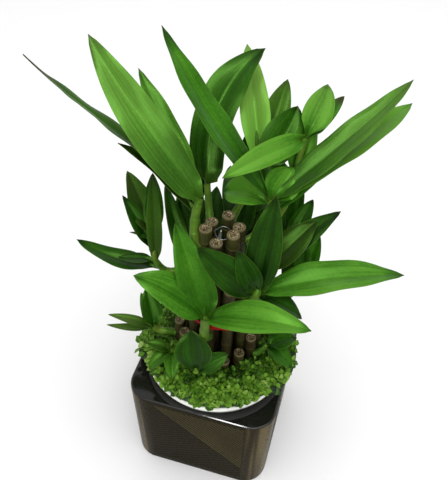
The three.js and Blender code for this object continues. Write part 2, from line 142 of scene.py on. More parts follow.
def apply_modifier(piece, kind, **settings):
    pick(piece)
    bpy.ops.object.modifier_add(type=kind)
    modifier = piece.modifiers[-1]
    for key, value in settings.items():
        setattr(modifier, key, value)
    bpy.ops.object.modifier_apply(modifier=modifier.name)


def join(pieces, name):
    pick(*pieces)
    if len(pieces) > 1:
        bpy.ops.object.join()
    return name_piece(name)


def smooth(piece, degrees):
    pick(piece)
    bpy.ops.object.shade_smooth_by_angle(angle=math.radians(degrees))


def turn_on_wheel(name, rings, vertices):
    """A turned body, closed at both ends: a circle drawn out ring by ring, as (radius, height) in mm."""
    deselect_all()
    radius, height = rings[0]
    bpy.ops.mesh.primitive_circle_add(vertices=vertices, radius=radius * MM, location=(0, 0, height * MM))
    piece = name_piece(name)
    edit()
    for next_radius, next_height in rings[1:]:
        bpy.ops.mesh.extrude_edges_move()
        bpy.ops.transform.translate(value=(0, 0, (next_height - height) * MM))
        grow = next_radius / radius
        bpy.ops.transform.resize(value=(grow, grow, 1), center_override=(0, 0, 0))
        radius, height = next_radius, next_height
    select_all()
    bpy.ops.mesh.fill_holes(sides=0)
    bpy.ops.mesh.normals_make_consistent(inside=False)
    leave_edit()
    settle(piece)
    return piece


def points_of(piece):
    flat = np.empty(len(piece.data.vertices) * 3, dtype=np.float64)
    piece.data.vertices.foreach_get("co", flat)
    return flat.reshape(-1, 3)


def set_points(piece, points):
    piece.data.vertices.foreach_set("co", np.ascontiguousarray(points, dtype=np.float32).ravel())
    piece.data.update()


def copy_of(piece, name):
    twin = piece.copy()
    twin.data = piece.data.copy()
    bpy.context.collection.objects.link(twin)
    twin.name = name
    twin.data.name = name
    return twin


def mark_points(piece, name, *values):
    """Gives each point four values for its finish to read."""
    layer = piece.data.color_attributes.new(name, "FLOAT_COLOR", "POINT")
    marks = np.stack(np.broadcast_arrays(*values), axis=1)
    layer.data.foreach_set("color", np.ascontiguousarray(marks, dtype=np.float32).ravel())


def repeat_mesh(model, name, places):
    """Uses up a model in copies joined into one piece; each place is a 3x3 turn and scale, and a shift."""
    base = points_of(model)
    faces = [tuple(face.vertices) for face in model.data.polygons]
    bpy.data.objects.remove(model)
    every, polygons = [], []
    for k, (turn, shift) in enumerate(places):
        every.append(base @ np.asarray(turn).T + np.asarray(shift))
        polygons.extend(tuple(v + k * len(base) for v in face) for face in faces)
    mesh = bpy.data.meshes.new(name)
    mesh.from_pydata(np.concatenate(every).tolist(), [], polygons)
    piece = bpy.data.objects.new(name, mesh)
    bpy.context.collection.objects.link(piece)
    return piece


def rotation(axis, degrees):
    return np.array(Matrix.Rotation(math.radians(degrees), 3, axis))


def smoothstep(low, high, value):
    t = np.clip((value - low) / (high - low), 0, 1)
    return t * t * (3 - 2 * t)


# ---- building materials ----
class Nodes:
    """The nodes of one material or effect, with short ways to add and join them."""

    def __init__(self, tree):
        self.tree = tree

    def feed(self, socket, value):
        if isinstance(value, bpy.types.NodeSocket):
            self.tree.links.new(value, socket)
        else:
            socket.default_value = value

    def add(self, kind, inputs=None, **settings):
        made = self.tree.nodes.new(kind)
        for key, value in settings.items():
            setattr(made, key, value)
        for key, value in (inputs or {}).items():
            self.feed(made.inputs[key], value)
        return made

    def noise(self, vector, scale, detail, roughness=0.5):
        given = {"Vector": vector, "Scale": scale, "Detail": detail, "Roughness": roughness}
        return self.add("ShaderNodeTexNoise", given).outputs["Fac"]


def effect(name, numbers, results):
    """An empty node group that takes a vector and numbers and gives values."""
    tree = bpy.data.node_groups.new(name, "ShaderNodeTree")
    tree.interface.new_socket(name="Vector", in_out="INPUT", socket_type="NodeSocketVector")
    for labels, way in ((numbers, "INPUT"), (results, "OUTPUT")):
        for label in labels:
            tree.interface.new_socket(name=label, in_out=way, socket_type="NodeSocketFloat")
    nodes = Nodes(tree)
    return nodes, nodes.add("NodeGroupInput").outputs, nodes.add("NodeGroupOutput").inputs


def make_mottle():
    """Large and small patches together, for anything that isn't one even colour."""
    nodes, given, out = effect("mottle", ("Large", "Small"), ("Patches", "Specks"))
    for result, size, detail in (("Patches", "Large", 2.0), ("Specks", "Small", 4.0)):
        nodes.feed(out[result], nodes.noise(given["Vector"], given[size], detail))
    return nodes.tree


def make_streaks():
    """Fine parallel lines along the second coordinate, as in the veins of a blade or the grain of bark."""
    nodes, given, out = effect("long_streaks", ("Across", "Along", "Sharpness"), ("Fine", "Broad"))
    across, along = given["Across"], given["Along"]
    scale = nodes.add("ShaderNodeCombineXYZ", {"X": across, "Y": along, "Z": along}).outputs["Vector"]
    stretch = nodes.add("ShaderNodeVectorMath", {0: given["Vector"], 1: scale}, operation="MULTIPLY")
    for result, size, detail in (("Fine", 2.6, 3.0), ("Broad", 0.55, 1.5)):
        nodes.feed(out[result], nodes.noise(stretch.outputs["Vector"], size, detail, given["Sharpness"]))
    return nodes.tree


MOTTLE = make_mottle()
STREAKS = make_streaks()


class Finish(Nodes):
    """A material under construction. Its patches and specks are there for whatever varies over it."""

    def __init__(self, name, large, small):
        self.material = bpy.data.materials.new(name)
        self.material.use_nodes = True
        super().__init__(self.material.node_tree)
        marks = self.group(MOTTLE, Vector=self.place(), Large=large, Small=small)
        self.patches, self.specks = marks["Patches"], marks["Specks"]

    def group(self, tree, **inputs):
        return self.add("ShaderNodeGroup", inputs, node_tree=tree).outputs

    def place(self, scale=(1, 1, 1)):
        at = self.add("ShaderNodeTexCoord").outputs["Object"]
        return self.add("ShaderNodeMapping", {"Vector": at, "Scale": scale}).outputs["Vector"]

    def marks(self, name):
        """The four values that mark_points gave each point."""
        found = self.add("ShaderNodeAttribute", attribute_name=name).outputs
        split = self.add("ShaderNodeSeparateColor", {"Color": found["Color"]}).outputs
        return split["Red"], split["Green"], split["Blue"], found["Alpha"]

    def math(self, operation, first, second=0.0):
        return self.add("ShaderNodeMath", {0: first, 1: second}, operation=operation).outputs[0]

    def vary(self, value, source, amount):
        """The value, higher or lower by up to half the amount as the source goes from 0 to 1."""
        return self.math("ADD", value, self.math("MULTIPLY", self.math("SUBTRACT", source, 0.5), amount))

    def range(self, value, low, high, to_low=0.0, to_high=1.0):
        given = {"Value": value, "From Min": low, "From Max": high, "To Min": to_low, "To Max": to_high}
        return self.add("ShaderNodeMapRange", given, interpolation_type="SMOOTHSTEP").outputs["Result"]

    def ramp(self, value, *stops):
        made = self.add("ShaderNodeValToRGB", {"Fac": value})
        elements = made.color_ramp.elements
        while len(elements) < len(stops):
            elements.new(0.5)
        for element, (place, colour) in zip(elements, stops):
            element.position = place
            element.color = (*colour, 1)
        return made.outputs["Color"]

    def mix(self, share, first, second):
        made = self.add("ShaderNodeMix", {0: share}, data_type="RGBA")
        for number, value in ((6, first), (7, second)):
            self.feed(made.inputs[number], (*value, 1) if isinstance(value, tuple) else value)
        return made.outputs[2]

    def cover(self, colour, *layers):
        """The colour with others laid over it in turn, each as its share and itself."""
        for share, laid in layers:
            colour = self.mix(share, colour, laid)
        return colour

    def bump(self, height, strength, distance, under=None):
        given = {"Height": height, "Strength": strength, "Distance": distance}
        if under is not None:
            given["Normal"] = under
        return self.add("ShaderNodeBump", given).outputs["Normal"]

    def rough(self, low, high, until=0.7):
        """A roughness that the specks spread between two values."""
        return self.range(self.specks, 0.3, until, low, high)

    def surface(self, colour, rough, bumps, gloss, tint=(1.0, 1.0, 1.0), metallic=0.0):
        """The finished material. Gloss is the strength of what it reflects, and tint the colour of that."""
        shader = self.tree.nodes["Principled BSDF"].inputs
        given = {"Base Color": colour, "Roughness": rough, "Normal": bumps, "Metallic": metallic}
        given |= {"Specular IOR Level": gloss, "Specular Tint": (*tint, 1.0)}
        for key, value in given.items():
            if value is not None:
                self.feed(shader[key], value)
        return self.material


WARM_GLOSS = (1.0, 0.80, 0.40)


def make_pot_gloss():
    finish = Finish("black_glossy_plastic", 18.0, 420.0)
    colour = finish.mix(finish.patches, (0.005, 0.005, 0.004), (0.012, 0.012, 0.010))
    bumps = finish.bump(finish.patches, 0.25, 0.0006)
    return finish.surface(colour, finish.rough(0.06, 0.13, 0.75), bumps, 0.42)


def make_pot_side():
    """Plain and dark on the flat of each side; round the corners lighter and streaked, a painted reflection
    of the lamps in the rounded corners.
    """
    finish = Finish("dark_olive_brown_plastic", 14.0, 500.0)
    at = finish.add("ShaderNodeTexCoord").outputs["Object"]
    split = finish.add("ShaderNodeSeparateXYZ", {"Vector": at}).outputs
    corner = finish.math("MINIMUM", *(finish.math("ABSOLUTE", split[axis]) for axis in "XY"))
    place = finish.place((1, 1, 0.04))
    # Round the corners the colour is painted lighter and streaked: a painted reflection of the lamps in the
    # rounded corners.
    streaks = finish.group(STREAKS, Vector=place, Across=260.0, Along=260.0, Sharpness=0.4)
    streak = finish.range(streaks["Broad"], 0.35, 0.7)
    flat = finish.mix(finish.patches, (0.0070, 0.0058, 0.0022), (0.0190, 0.0155, 0.0060))
    painted_corner_reflection = finish.mix(streak, (0.020, 0.015, 0.006), (0.105, 0.080, 0.034))
    colour = finish.mix(finish.range(corner, 0.049, 0.058), flat, painted_corner_reflection)
    bumps = finish.bump(finish.specks, 0.12, 0.0003)
    return finish.surface(colour, finish.rough(0.24, 0.36, 0.75), bumps, 0.025, WARM_GLOSS)


def make_rib_finish():
    finish = Finish("olive_brown_ribs", 22.0, 600.0)
    colour = finish.mix(finish.patches, (0.028, 0.0230, 0.0090), (0.084, 0.069, 0.0280))
    bumps = finish.bump(finish.specks, 0.1, 0.0002)
    return finish.surface(colour, finish.rough(0.25, 0.4, 0.75), bumps, 0.03, WARM_GLOSS)


def make_liner_finish():
    finish = Finish("white_liner_plastic", 60.0, 420.0)
    colour = finish.cover(
        (0.86, 0.87, 0.82),
        (finish.range(finish.patches, 0.52, 0.72), (0.66, 0.66, 0.52)),  # scuffs
        (finish.range(finish.specks, 0.64, 0.74, 0, 0.5), (0.30, 0.27, 0.16)),  # dirt
    )
    return finish.surface(colour, finish.rough(0.3, 0.5, 0.8), finish.bump(finish.specks, 0.15, 0.0003), 0.5)


def make_soil_finish():
    finish = Finish("dark_potting_soil", 120.0, 900.0)
    crumbs = finish.add("ShaderNodeTexVoronoi", {"Vector": finish.place(), "Scale": 420.0})
    both = [finish.math("MULTIPLY", *part) for part in ((finish.patches, 0.6), (finish.specks, 0.4))]
    colour = finish.ramp(
        finish.math("ADD", *both),
        (0.32, (0.008, 0.005, 0.003)), (0.52, (0.028, 0.017, 0.009)), (0.72, (0.075, 0.048, 0.026)),
    )
    bumps = finish.bump(crumbs.outputs["Distance"], 0.8, 0.0012)
    return finish.surface(colour, finish.rough(0.8, 0.98), bumps, 0.25)


def make_bed_finish():
    finish = Finish("shaded_leaflet_bed", 90.0, 700.0)
    cells = finish.add("ShaderNodeTexVoronoi", {"Vector": finish.place(), "Scale": 300.0})
    colour = finish.ramp(
        finish.specks,
        (0.35, (0.006, 0.016, 0.003)), (0.55, (0.014, 0.044, 0.006)), (0.75, (0.030, 0.085, 0.010)),
    )
    rough = finish.range(finish.patches, 0.3, 0.7, 0.6, 0.85)
    return finish.surface(colour, rough, finish.bump(cells.outputs["Distance"], 0.9, 0.0015), 0.3)


def make_leaflet_finish():
    finish = Finish("bright_leaflet_green", 30.0, 900.0)
    tone, along, across, _ = finish.marks("leaflet")
    colour = finish.ramp(
        finish.vary(tone, finish.specks, 0.5),
        (0.02, (0.008, 0.030, 0.002)), (0.30, (0.030, 0.098, 0.005)), (0.60, (0.078, 0.190, 0.011)),
        (0.88, (0.150, 0.300, 0.028)), (1.00, (0.260, 0.400, 0.080)),
    )
    colour = finish.cover(
        colour,
        (finish.range(across, 0.0, 0.22, 0.35, 0.0), (0.26, 0.44, 0.10)),  # middle vein
        (finish.range(along, 0.0, 0.35, 0.55, 0.0), (0.030, 0.085, 0.010)),  # shaded foot
    )
    bumps = finish.bump(finish.specks, 0.25, 0.0002)
    return finish.surface(colour, finish.rough(0.34, 0.5), bumps, 0.24, (0.60, 1.0, 0.25))


def make_cane_finish():
    finish = Finish("cut_cane_bark", 110.0, 800.0)
    reach, depth, tone, end = finish.marks("cane")
    place = finish.place((1, 1, 0.06))
    grain = finish.group(STREAKS, Vector=place, Across=420.0, Along=420.0, Sharpness=0.6)["Fine"]
    bark = finish.ramp(
        finish.vary(tone, finish.patches, 0.55),
        (0.00, (0.010, 0.008, 0.003)), (0.30, (0.034, 0.030, 0.009)), (0.55, (0.044, 0.056, 0.010)),
        (0.80, (0.045, 0.100, 0.012)), (1.00, (0.130, 0.190, 0.030)),
    )
    bark = finish.cover(
        bark,
        (finish.range(grain, 0.42, 0.68, 0.0, 0.6), (0.020, 0.016, 0.007)),  # dark grain
        (finish.range(finish.specks, 0.62, 0.77, 0.0, 0.4), (0.11, 0.08, 0.04)),  # pale specks
        (finish.range(depth, 0.0, 0.014, 0.7, 0.0), (0.20, 0.165, 0.085)),  # worn edge at the cut
    )
    splinters = finish.noise(finish.place(), 900.0, 5.0, 0.65)
    wood = finish.ramp(
        finish.math("ADD", splinters, finish.math("MULTIPLY", reach, 0.10)),
        (0.44, (0.008, 0.006, 0.003)), (0.52, (0.035, 0.024, 0.010)),
        (0.58, (0.170, 0.130, 0.062)), (0.66, (0.400, 0.345, 0.215)),
    )
    wood = finish.cover(
        wood,
        (finish.range(reach, 0.74, 0.80, 0.0, 0.85), (0.026, 0.018, 0.008)),  # dark ring
        (finish.range(reach, 0.86, 0.91, 0.0, 0.85), (0.190, 0.150, 0.080)),  # tan rim
    )
    bumps = finish.bump(splinters, 0.35, 0.0004, finish.bump(grain, 0.45, 0.0005))
    colour = finish.mix(end, bark, wood)
    return finish.surface(colour, finish.rough(0.42, 0.75), bumps, 0.14, (1.0, 0.85, 0.45))


def make_blade_finish():
    finish = Finish("streaked_leaf_green", 24.0, 380.0)
    edge, along, tone, under = finish.marks("blade")
    olive, withered, pale, _ = finish.marks("ageing_and_sheen")
    laid = finish.add("ShaderNodeUVMap", uv_map="blade_uv").outputs["UV"]
    veins = finish.group(STREAKS, Vector=laid, Across=2.2, Along=0.03, Sharpness=0.6)
    lines = finish.range(veins["Fine"], 0.38, 0.62)
    # Tone is partly each leaf's own colour and partly the painted light or shade that falls on it. The blade
    # is painted darker towards its foot, as shade deep inside the plant.
    shade = finish.math("ADD", tone, finish.range(along, 0.0, 0.6, -0.18, 0.01))
    shade = finish.math("SUBTRACT", shade, finish.range(along, 0.84, 1.0, 0.0, 0.45))
    amounts = ((veins["Broad"], 0.50), (lines, 0.12), (finish.patches, 0.55), (finish.specks, 0.30))
    for source, amount in amounts:
        shade = finish.vary(shade, source, amount)
    colour = finish.ramp(
        shade,
        (0.00, (0.002, 0.009, 0.001)), (0.25, (0.006, 0.028, 0.0015)), (0.50, (0.014, 0.066, 0.003)),
        (0.75, (0.031, 0.132, 0.006)), (1.00, (0.078, 0.236, 0.018)),
    )
    # A paler upper blade: partly the leaf's own paler colour and partly a painted sheen.
    pale_and_sheen = finish.math("MULTIPLY", pale, finish.range(along, 0.15, 0.7, 0.2, 1.0))
    pale_and_sheen = finish.math("MULTIPLY", pale_and_sheen, finish.range(lines, 0.0, 1.0, 0.75, 1.15))
    worn = finish.range(finish.vary(withered, finish.specks, 0.5), 0.25, 0.85, 0.0, 0.92)
    colour = finish.cover(
        colour,
        (pale_and_sheen, (0.190, 0.330, 0.062)),
        # Darker along the groove in the middle: painted shade in the crease of the fold.
        (finish.range(edge, 0.0, 0.05, 0.20, 0.0), (0.020, 0.085, 0.006)),  # the groove in the middle
        (finish.math("MULTIPLY", under, 0.40), (0.085, 0.180, 0.030)),  # the duller underside
        (finish.range(along, 0.0, 0.12, 0.30, 0.0), (0.080, 0.160, 0.015)),  # the yellower foot
        (finish.math("MULTIPLY", olive, 0.8), (0.040, 0.052, 0.006)),
        (finish.range(edge, 0.955, 0.995, 0.0, 0.45), (0.105, 0.210, 0.022)),  # the thin pale edge
        (worn, (0.030, 0.022, 0.008)),
    )
    rough = finish.range(veins["Fine"], 0.3, 0.7, 0.30, 0.42)
    rough = finish.math("ADD", rough, finish.math("MULTIPLY", under, 0.16))
    return finish.surface(colour, rough, finish.bump(lines, 0.16, 0.00025), 0.26, (0.40, 0.95, 0.16))


def make_stem_finish():
    finish = Finish("sheathed_stem_green", 70.0, 600.0)
    colour = finish.ramp(
        finish.patches,
        (0.30, (0.026, 0.076, 0.006)), (0.50, (0.064, 0.134, 0.011)), (0.72, (0.124, 0.190, 0.024)),
    )
    colour = finish.mix(finish.range(finish.specks, 0.6, 0.75, 0.0, 0.5), colour, (0.07, 0.06, 0.02))
    bumps = finish.bump(finish.specks, 0.2, 0.0003)
    return finish.surface(colour, finish.rough(0.34, 0.5), bumps, 0.30, (0.40, 0.95, 0.18))


def make_ribbon_finish():
    finish = Finish("red_satin_ribbon", 90.0, 1200.0)
    given = {"Vector": finish.place(), "Scale": 900.0, "Distortion": 0.6}
    weave = finish.add("ShaderNodeTexWave", given, bands_direction="Z").outputs["Fac"]
    colour = finish.mix(weave, (0.17, 0.004, 0.003), (0.34, 0.009, 0.006))
    colour = finish.mix(finish.range(finish.patches, 0.35, 0.7, 0.0, 0.6), colour, (0.06, 0.005, 0.004))
    bumps = finish.bump(weave, 0.25, 0.0002)
    return finish.surface(colour, finish.rough(0.32, 0.5), bumps, 0.18, (1.0, 0.35, 0.30))


def make_wire_finish():
    finish = Finish("dull_steel_wire", 160.0, 1400.0)
    colour = finish.mix(finish.patches, (0.045, 0.048, 0.048), (0.120, 0.125, 0.125))
    bumps = finish.bump(finish.specks, 0.15, 0.0001)
    return finish.surface(colour, finish.rough(0.28, 0.48), bumps, 0.5, metallic=1.0)


def make_floor_finish():
    finish = Finish("pale_studio_floor", 1.5, 60.0)
    colour = finish.mix(finish.patches, (0.90, 0.90, 0.90), (0.93, 0.93, 0.93))
    return finish.surface(colour, 0.9, None, 0.1)


POT_GLOSS = make_pot_gloss()
POT_SIDE = make_pot_side()
RIBS = make_rib_finish()
LINER_WHITE = make_liner_finish()
SOIL_DARK = make_soil_finish()
BED_GREEN = make_bed_finish()
LEAFLET_GREEN = make_leaflet_finish()
CANE_BARK = make_cane_finish()
BLADE_GREEN = make_blade_finish()
STEM_GREEN = make_stem_finish()
RIBBON_RED = make_ribbon_finish()
WIRE_GREY = make_wire_finish()


def dress(piece, *materials):
    piece.data.materials.clear()
    for material in materials:
        piece.data.materials.append(material)


def finish_piece(piece, slot, nodes, *materials):
    if materials:
        dress(piece, *materials)
    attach(piece, "root")
    if nodes:
        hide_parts(*nodes)


# ---- the pot ----
RIB = {"length": 260, "width": 1.5, "pitch": 3.5, "count": 36, "centre": 62, "bottom": 9, "top": 116.5}
# The line between the two bands of ribs: a point on it, its slope, and how far the bands stay off it.
DIVIDE = {"x": -46, "z": 116, "slope": 42, "gap": 1.2}


def half_side(height):
    """Half the pot's width at a height, in mm."""
    return (POT["base_side"] + (POT["side"] - POT["base_side"]) * height / POT["height"]) / 2


def rounded_box(name, side, base_side, bottom, top, corner, segments):
    """A box on a square plan, narrower at its foot, with rounded upright edges."""
    deselect_all()
    size = (side * MM, side * MM, (top - bottom) * MM)
    bpy.ops.mesh.primitive_cube_add(size=1, location=(0, 0, (bottom + top) / 2 * MM), scale=size)
    box = name_piece(name)
    settle(box)
    edit()
    select_faces(box, lambda at, normal: normal.z < -0.9)
    bpy.ops.transform.resize(value=(base_side / side, base_side / side, 1), center_override=(0, 0, 0))
    select_edges(box, lambda a, b: abs(a.z - b.z) > 0.05)
    bpy.ops.mesh.bevel(offset=corner * MM, segments=segments, profile=0.5)
    leave_edit()
    return box


def make_pot_body():
    side, base, height, wall, mouth = (POT[key] for key in ("side", "base_side", "height", "wall", "mouth"))
    pot = rounded_box("square_pot", side, base, 0, height, POT["corner"], 14)
    edit()
    select_faces(pot, lambda at, normal: abs(normal.z) > 0.9)
    bpy.ops.mesh.region_to_loop()
    bpy.ops.mesh.bevel(offset=POT["bevel"] * MM, segments=5, profile=0.6)
    leave_edit()
    inner_side, inner_base, inner_corner = side - 2 * wall, base - 2 * wall, POT["corner"] - wall
    hollow = rounded_box("pot_hollow", inner_side, inner_base, POT["floor"], height - wall, inner_corner, 8)
    wider = mouth + 1.2
    flare = [(mouth, height - 2 * wall), (mouth, height - 1), (wider, height + 0.2), (wider, height + 3)]
    for tool in (hollow, turn_on_wheel("pot_mouth", flare, 96)):
        apply_modifier(pot, "BOOLEAN", operation="DIFFERENCE", solver="EXACT", object=tool)
        bpy.data.objects.remove(tool)
    smooth(pot, 35)
    dress(pot, POT_GLOSS, POT_SIDE)
    for face in pot.data.polygons:
        x, y, _ = face.center
        outside = max(abs(x), abs(y)) > 0.06 or math.hypot(x, y) > 0.08
        face.material_index = 1 if outside and abs(face.normal.z) < 0.35 else 0
    return pot


def make_ribs():
    """Fine raised ribs for one side, flat in the XZ plane and looking to -Y, in two bands."""
    half = half_side(60) - POT["corner"] - 0.5
    lean = math.tan(math.radians(DIVIDE["slope"]))
    bands = []
    # Each band: its slope, the rise of its ribs, its finish, and -1 above the divide or 1 below.
    for slope, rise, finish, keep in ((-42, 0.40, RIBS, -1), (34, 0.22, POT_SIDE, 1)):
        deselect_all()
        size = (RIB["length"] * MM, 2 * rise * MM, RIB["width"] * MM)
        bpy.ops.mesh.primitive_cube_add(size=1, location=(0, 0, 0), scale=size)
        rib = name_piece("rib")
        settle(rib)
        edit()
        select_edges(rib, lambda a, b: a.y < 0 and b.y < 0 and abs(a.x - b.x) > 0.1)
        bpy.ops.mesh.bevel(offset=rise * 0.9 * MM, segments=3, profile=0.6)
        leave_edit()
        turn = rotation("Y", -slope)
        places = []
        for k in range(-RIB["count"], RIB["count"] + 1):
            step = turn @ np.array([0, 0, (k + 0.5) * RIB["pitch"]])
            places.append((turn, (step + np.array([0, 0, RIB["centre"]])) * MM))
        band = repeat_mesh(rib, "rib_band", places)
        pick(band)
        edit()
        for at, normal in (
            ((0, 0, RIB["top"]), (0, 0, 1)),
            ((0, 0, RIB["bottom"]), (0, 0, -1)),
            ((half, 0, 0), (1, 0, 0)),
            ((-half, 0, 0), (-1, 0, 0)),
            ((DIVIDE["x"], 0, DIVIDE["z"] - DIVIDE["gap"] * keep), (keep * lean, 0, keep)),
        ):
            select_all()
            bpy.ops.mesh.bisect(plane_co=Vector(at) * MM, plane_no=normal, use_fill=True, clear_outer=True)
        leave_edit()
        dress(band, finish)
        bands.append(band)
    return join(bands, "pot_ribs")


def make_pot():
    pot = make_pot_body()
    ribs = make_ribs()
    points = points_of(ribs)
    points[:, 1] -= half_side(points[:, 2] / MM) * MM
    sides = [ribs] + [copy_of(ribs, "pot_ribs_%d" % k) for k in range(1, 4)]
    for k, side in enumerate(sides):
        set_points(side, points @ rotation("Z", 90 * k).T)
        smooth(side, 30)
    finish_piece(join([pot, *sides], "square_pot"), "pot", ["outer_pot"])


def make_liner():
    lip, top, bead, throat, foot = (LINER[key] for key in ("lip", "top", "bead", "throat", "foot"))
    floor_z, wall = LINER["floor_z"], LINER["wall"]
    deck = POT["height"] + 0.3
    rings = [
        (2, floor_z), (foot - 2, floor_z), (foot - 0.6, floor_z + 0.5), (foot, floor_z + 1.8),
        (throat + wall, deck), (lip - bead, deck + bead / 2),
        (lip - 0.8, top - bead - 3), (lip, top - bead), (lip, top - bead + 1),
        (lip - 0.3, top - 1), (lip - 1.0, top - 0.25), (lip - 1.9, top),
        (throat + 1, top), (throat + 0.3, top - 0.25), (throat, top - 0.9),
        (throat, deck), (foot - wall, floor_z + wall), (2, floor_z + wall),
    ]
    liner = turn_on_wheel("white_liner", rings, 144)
    smooth(liner, 40)
    finish_piece(liner, "liner", ["pot_liner"], LINER_WHITE)


# ---- the soil and the ground cover ----
# Spans are (least, most), lengths are in mm and turns in degrees.
CRUMBS = {"count": 900, "size": (0.6, 2.0), "slimmer": (0.6, 1), "flatter": 0.7}
MAT = {
    "count": 1250, "size": (6.4, 10.8), "lie": 14, "lean": 10,
    "heading": 95, "lift": (2, 54), "sink": (-2.0, 0.6),
}
SPRIGS = {
    "count": 250, "size": (0.85, 1.15), "leaflet": (5.6, 8.2),
    "top": (3.4, 4.8), "lie": 20, "lean": (-12, 18),
}
# How much darker the leaflets are painted right beside the canes: painted shade under the plant.
SHADE = {"mat": 0.50, "sprigs": 0.35}


def mound_height(radius):
    t = np.clip((radius - MOUND["inner"]) / (MOUND["outer"] - MOUND["inner"]), 0, 1)
    return MOUND["rim"] + (MOUND["crest"] - MOUND["rim"]) * (1 - t**2.2)


def swell(x, y):
    """The mound hangs over the liner's lip at both sides and at the back, but not at the front."""
    radius = np.hypot(x, y)
    share = np.maximum(0, (radius - LINER["throat"]) / (MOUND["outer"] - LINER["throat"]))
    sideways = smoothstep(0.78, 0.93, np.abs(x) / radius)
    bulge = np.maximum(np.maximum(MOUND["side_bulge"] * sideways, MOUND["back_bulge"] * y / radius), 0)
    grown = (radius + bulge * share) / radius
    return x * grown, y * grown


def make_soil():
    """The solid soil stays in view with its finish, and crumbs lie on it."""
    dress(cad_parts["potting_soil"], SOIL_DARK)
    deselect_all()
    bpy.ops.mesh.primitive_ico_sphere_add(subdivisions=1, radius=1 * MM)
    crumb = name_piece("crumb")
    draw = random.Random(3)
    places = []
    for _ in range(CRUMBS["count"]):
        radius, turn = (MOUND["inner"] - 0.7) * math.sqrt(draw.random()), draw.uniform(0, 360)
        size = draw.uniform(*CRUMBS["size"])
        lay = rotation("Z", turn) @ rotation("X", draw.uniform(0, 180))
        shape = lay @ np.diag((1, draw.uniform(*CRUMBS["slimmer"]), CRUMBS["flatter"])) * size
        angle = math.radians(turn)
        at = (radius * math.cos(angle), radius * math.sin(angle), SOIL_TOP + 0.35 * size)
        places.append((shape, np.array(at) * MM))
    crumbs = repeat_mesh(crumb, "soil_crumbs", places)
    smooth(crumbs, 60)
    finish_piece(crumbs, "soil", [], SOIL_DARK)


def make_bed():
    """The body of the mound, a little lower than its leaflets."""
    inner, outer = MOUND["inner"], MOUND["outer"]
    soil, lip = SOIL_TOP + 0.3, LINER["top"] + 0.6
    rings = [(inner, soil), (LINER["throat"] - 2, soil), (LINER["throat"] - 2, lip), (outer - 3, lip)]
    for share in (0.97, 0.90, 0.82, 0.74, 0.66, 0.58, 0.50, 0.42, 0.34, 0.26, 0.18, 0.10, 0.03):
        radius = inner + (outer - inner) * share
        rings.append((radius, float(mound_height(radius)) - 2.5))
    bed = turn_on_wheel("leaflet_bed", rings, 120)
    edit()
    select_faces(bed, lambda at, normal: abs(normal.z) > 0.98 and math.hypot(at.x, at.y) < 0.02)
    bpy.ops.mesh.delete(type="FACE")
    bpy.ops.mesh.select_all(action="DESELECT")
    bpy.ops.mesh.select_mode(type="EDGE")
    bpy.ops.mesh.select_non_manifold()
    bpy.ops.mesh.bridge_edge_loops()
    select_all()
    bpy.ops.mesh.normals_make_consistent(inside=False)
    leave_edit()
    points = points_of(bed) / MM
    top = (points[:, 2] > lip + 0.1) & (np.hypot(points[:, 0], points[:, 1]) > inner + 0.5)
    lumps = np.array([noise.noise(Vector(p) * 0.35) + 0.6 * noise.noise(Vector(p) * 0.9) for p in points])
    points[:, 0], points[:, 1] = swell(points[:, 0], points[:, 1])
    points[:, 2] += np.where(top, 1.3 * lumps, 0)
    set_points(bed, points * MM)
    smooth(bed, 60)
    finish_piece(bed, "ground_cover", ["ground_cover"], BED_GREEN)


def either_way(draw, most):
    return draw.uniform(-most, most)


def grow_leaflets(name, places, tones):
    """Copies of one small cupped oval leaf, 1 unit long, its root at the origin and its tip towards +Y."""
    deselect_all()
    bpy.ops.mesh.primitive_grid_add(x_subdivisions=2, y_subdivisions=3, size=1)
    leaflet = name_piece("leaflet")
    apply_modifier(leaflet, "SOLIDIFY", thickness=0.06, offset=0)
    points = points_of(leaflet)
    across, along, face = points[:, 0] * 2, points[:, 1] + 0.5, np.sign(points[:, 2])
    outline = np.array([0.12, 0.92, 0.96, 0.10])[np.rint(along * 3).astype(int)]
    points[:, 0] = across * 0.35 * outline
    points[:, 1] = along
    points[:, 2] = 0.022 * face + 0.10 * across**2 * outline - 0.22 * (along - 0.45) ** 2 + 0.045
    set_points(leaflet, points)
    grown = repeat_mesh(leaflet, name, places)
    tone = np.repeat(np.clip(tones, 0, 1), len(points))
    every_along, every_across = (np.tile(values, len(places)) for values in (along, np.abs(across)))
    mark_points(grown, "leaflet", tone, every_along, every_across, 1.0)
    smooth(grown, 50)
    finish_piece(grown, "ground_cover", ["ground_cover"], LEAFLET_GREEN)


def mound_spots(count, nearest, farthest, draw):
    """Points spread evenly over the mound: the angle, the radius, the point and how far the skin leans."""
    golden = math.pi * (3 - math.sqrt(5))
    for k in range(count):
        share = (k + draw.random()) / count
        radius = math.sqrt(nearest**2 + share * (farthest**2 - nearest**2))
        turn = k * golden + draw.uniform(-0.2, 0.2)
        x, y = swell(radius * math.cos(turn), radius * math.sin(turn))
        fall = mound_height(radius - 0.5) - mound_height(min(radius + 0.5, MOUND["outer"]))
        point = np.array([x, y, mound_height(min(radius, MOUND["outer"]))])
        yield math.degrees(turn), radius, point, math.degrees(math.atan(fall))


def shaded(radius):
    """1 beside the canes, where the leaflets are painted darker as shade under the plant, and 0 from the
    middle of the mound outwards.
    """
    return 1 - float(smoothstep(MOUND["inner"] + 4, MOUND["inner"] + 15, radius))


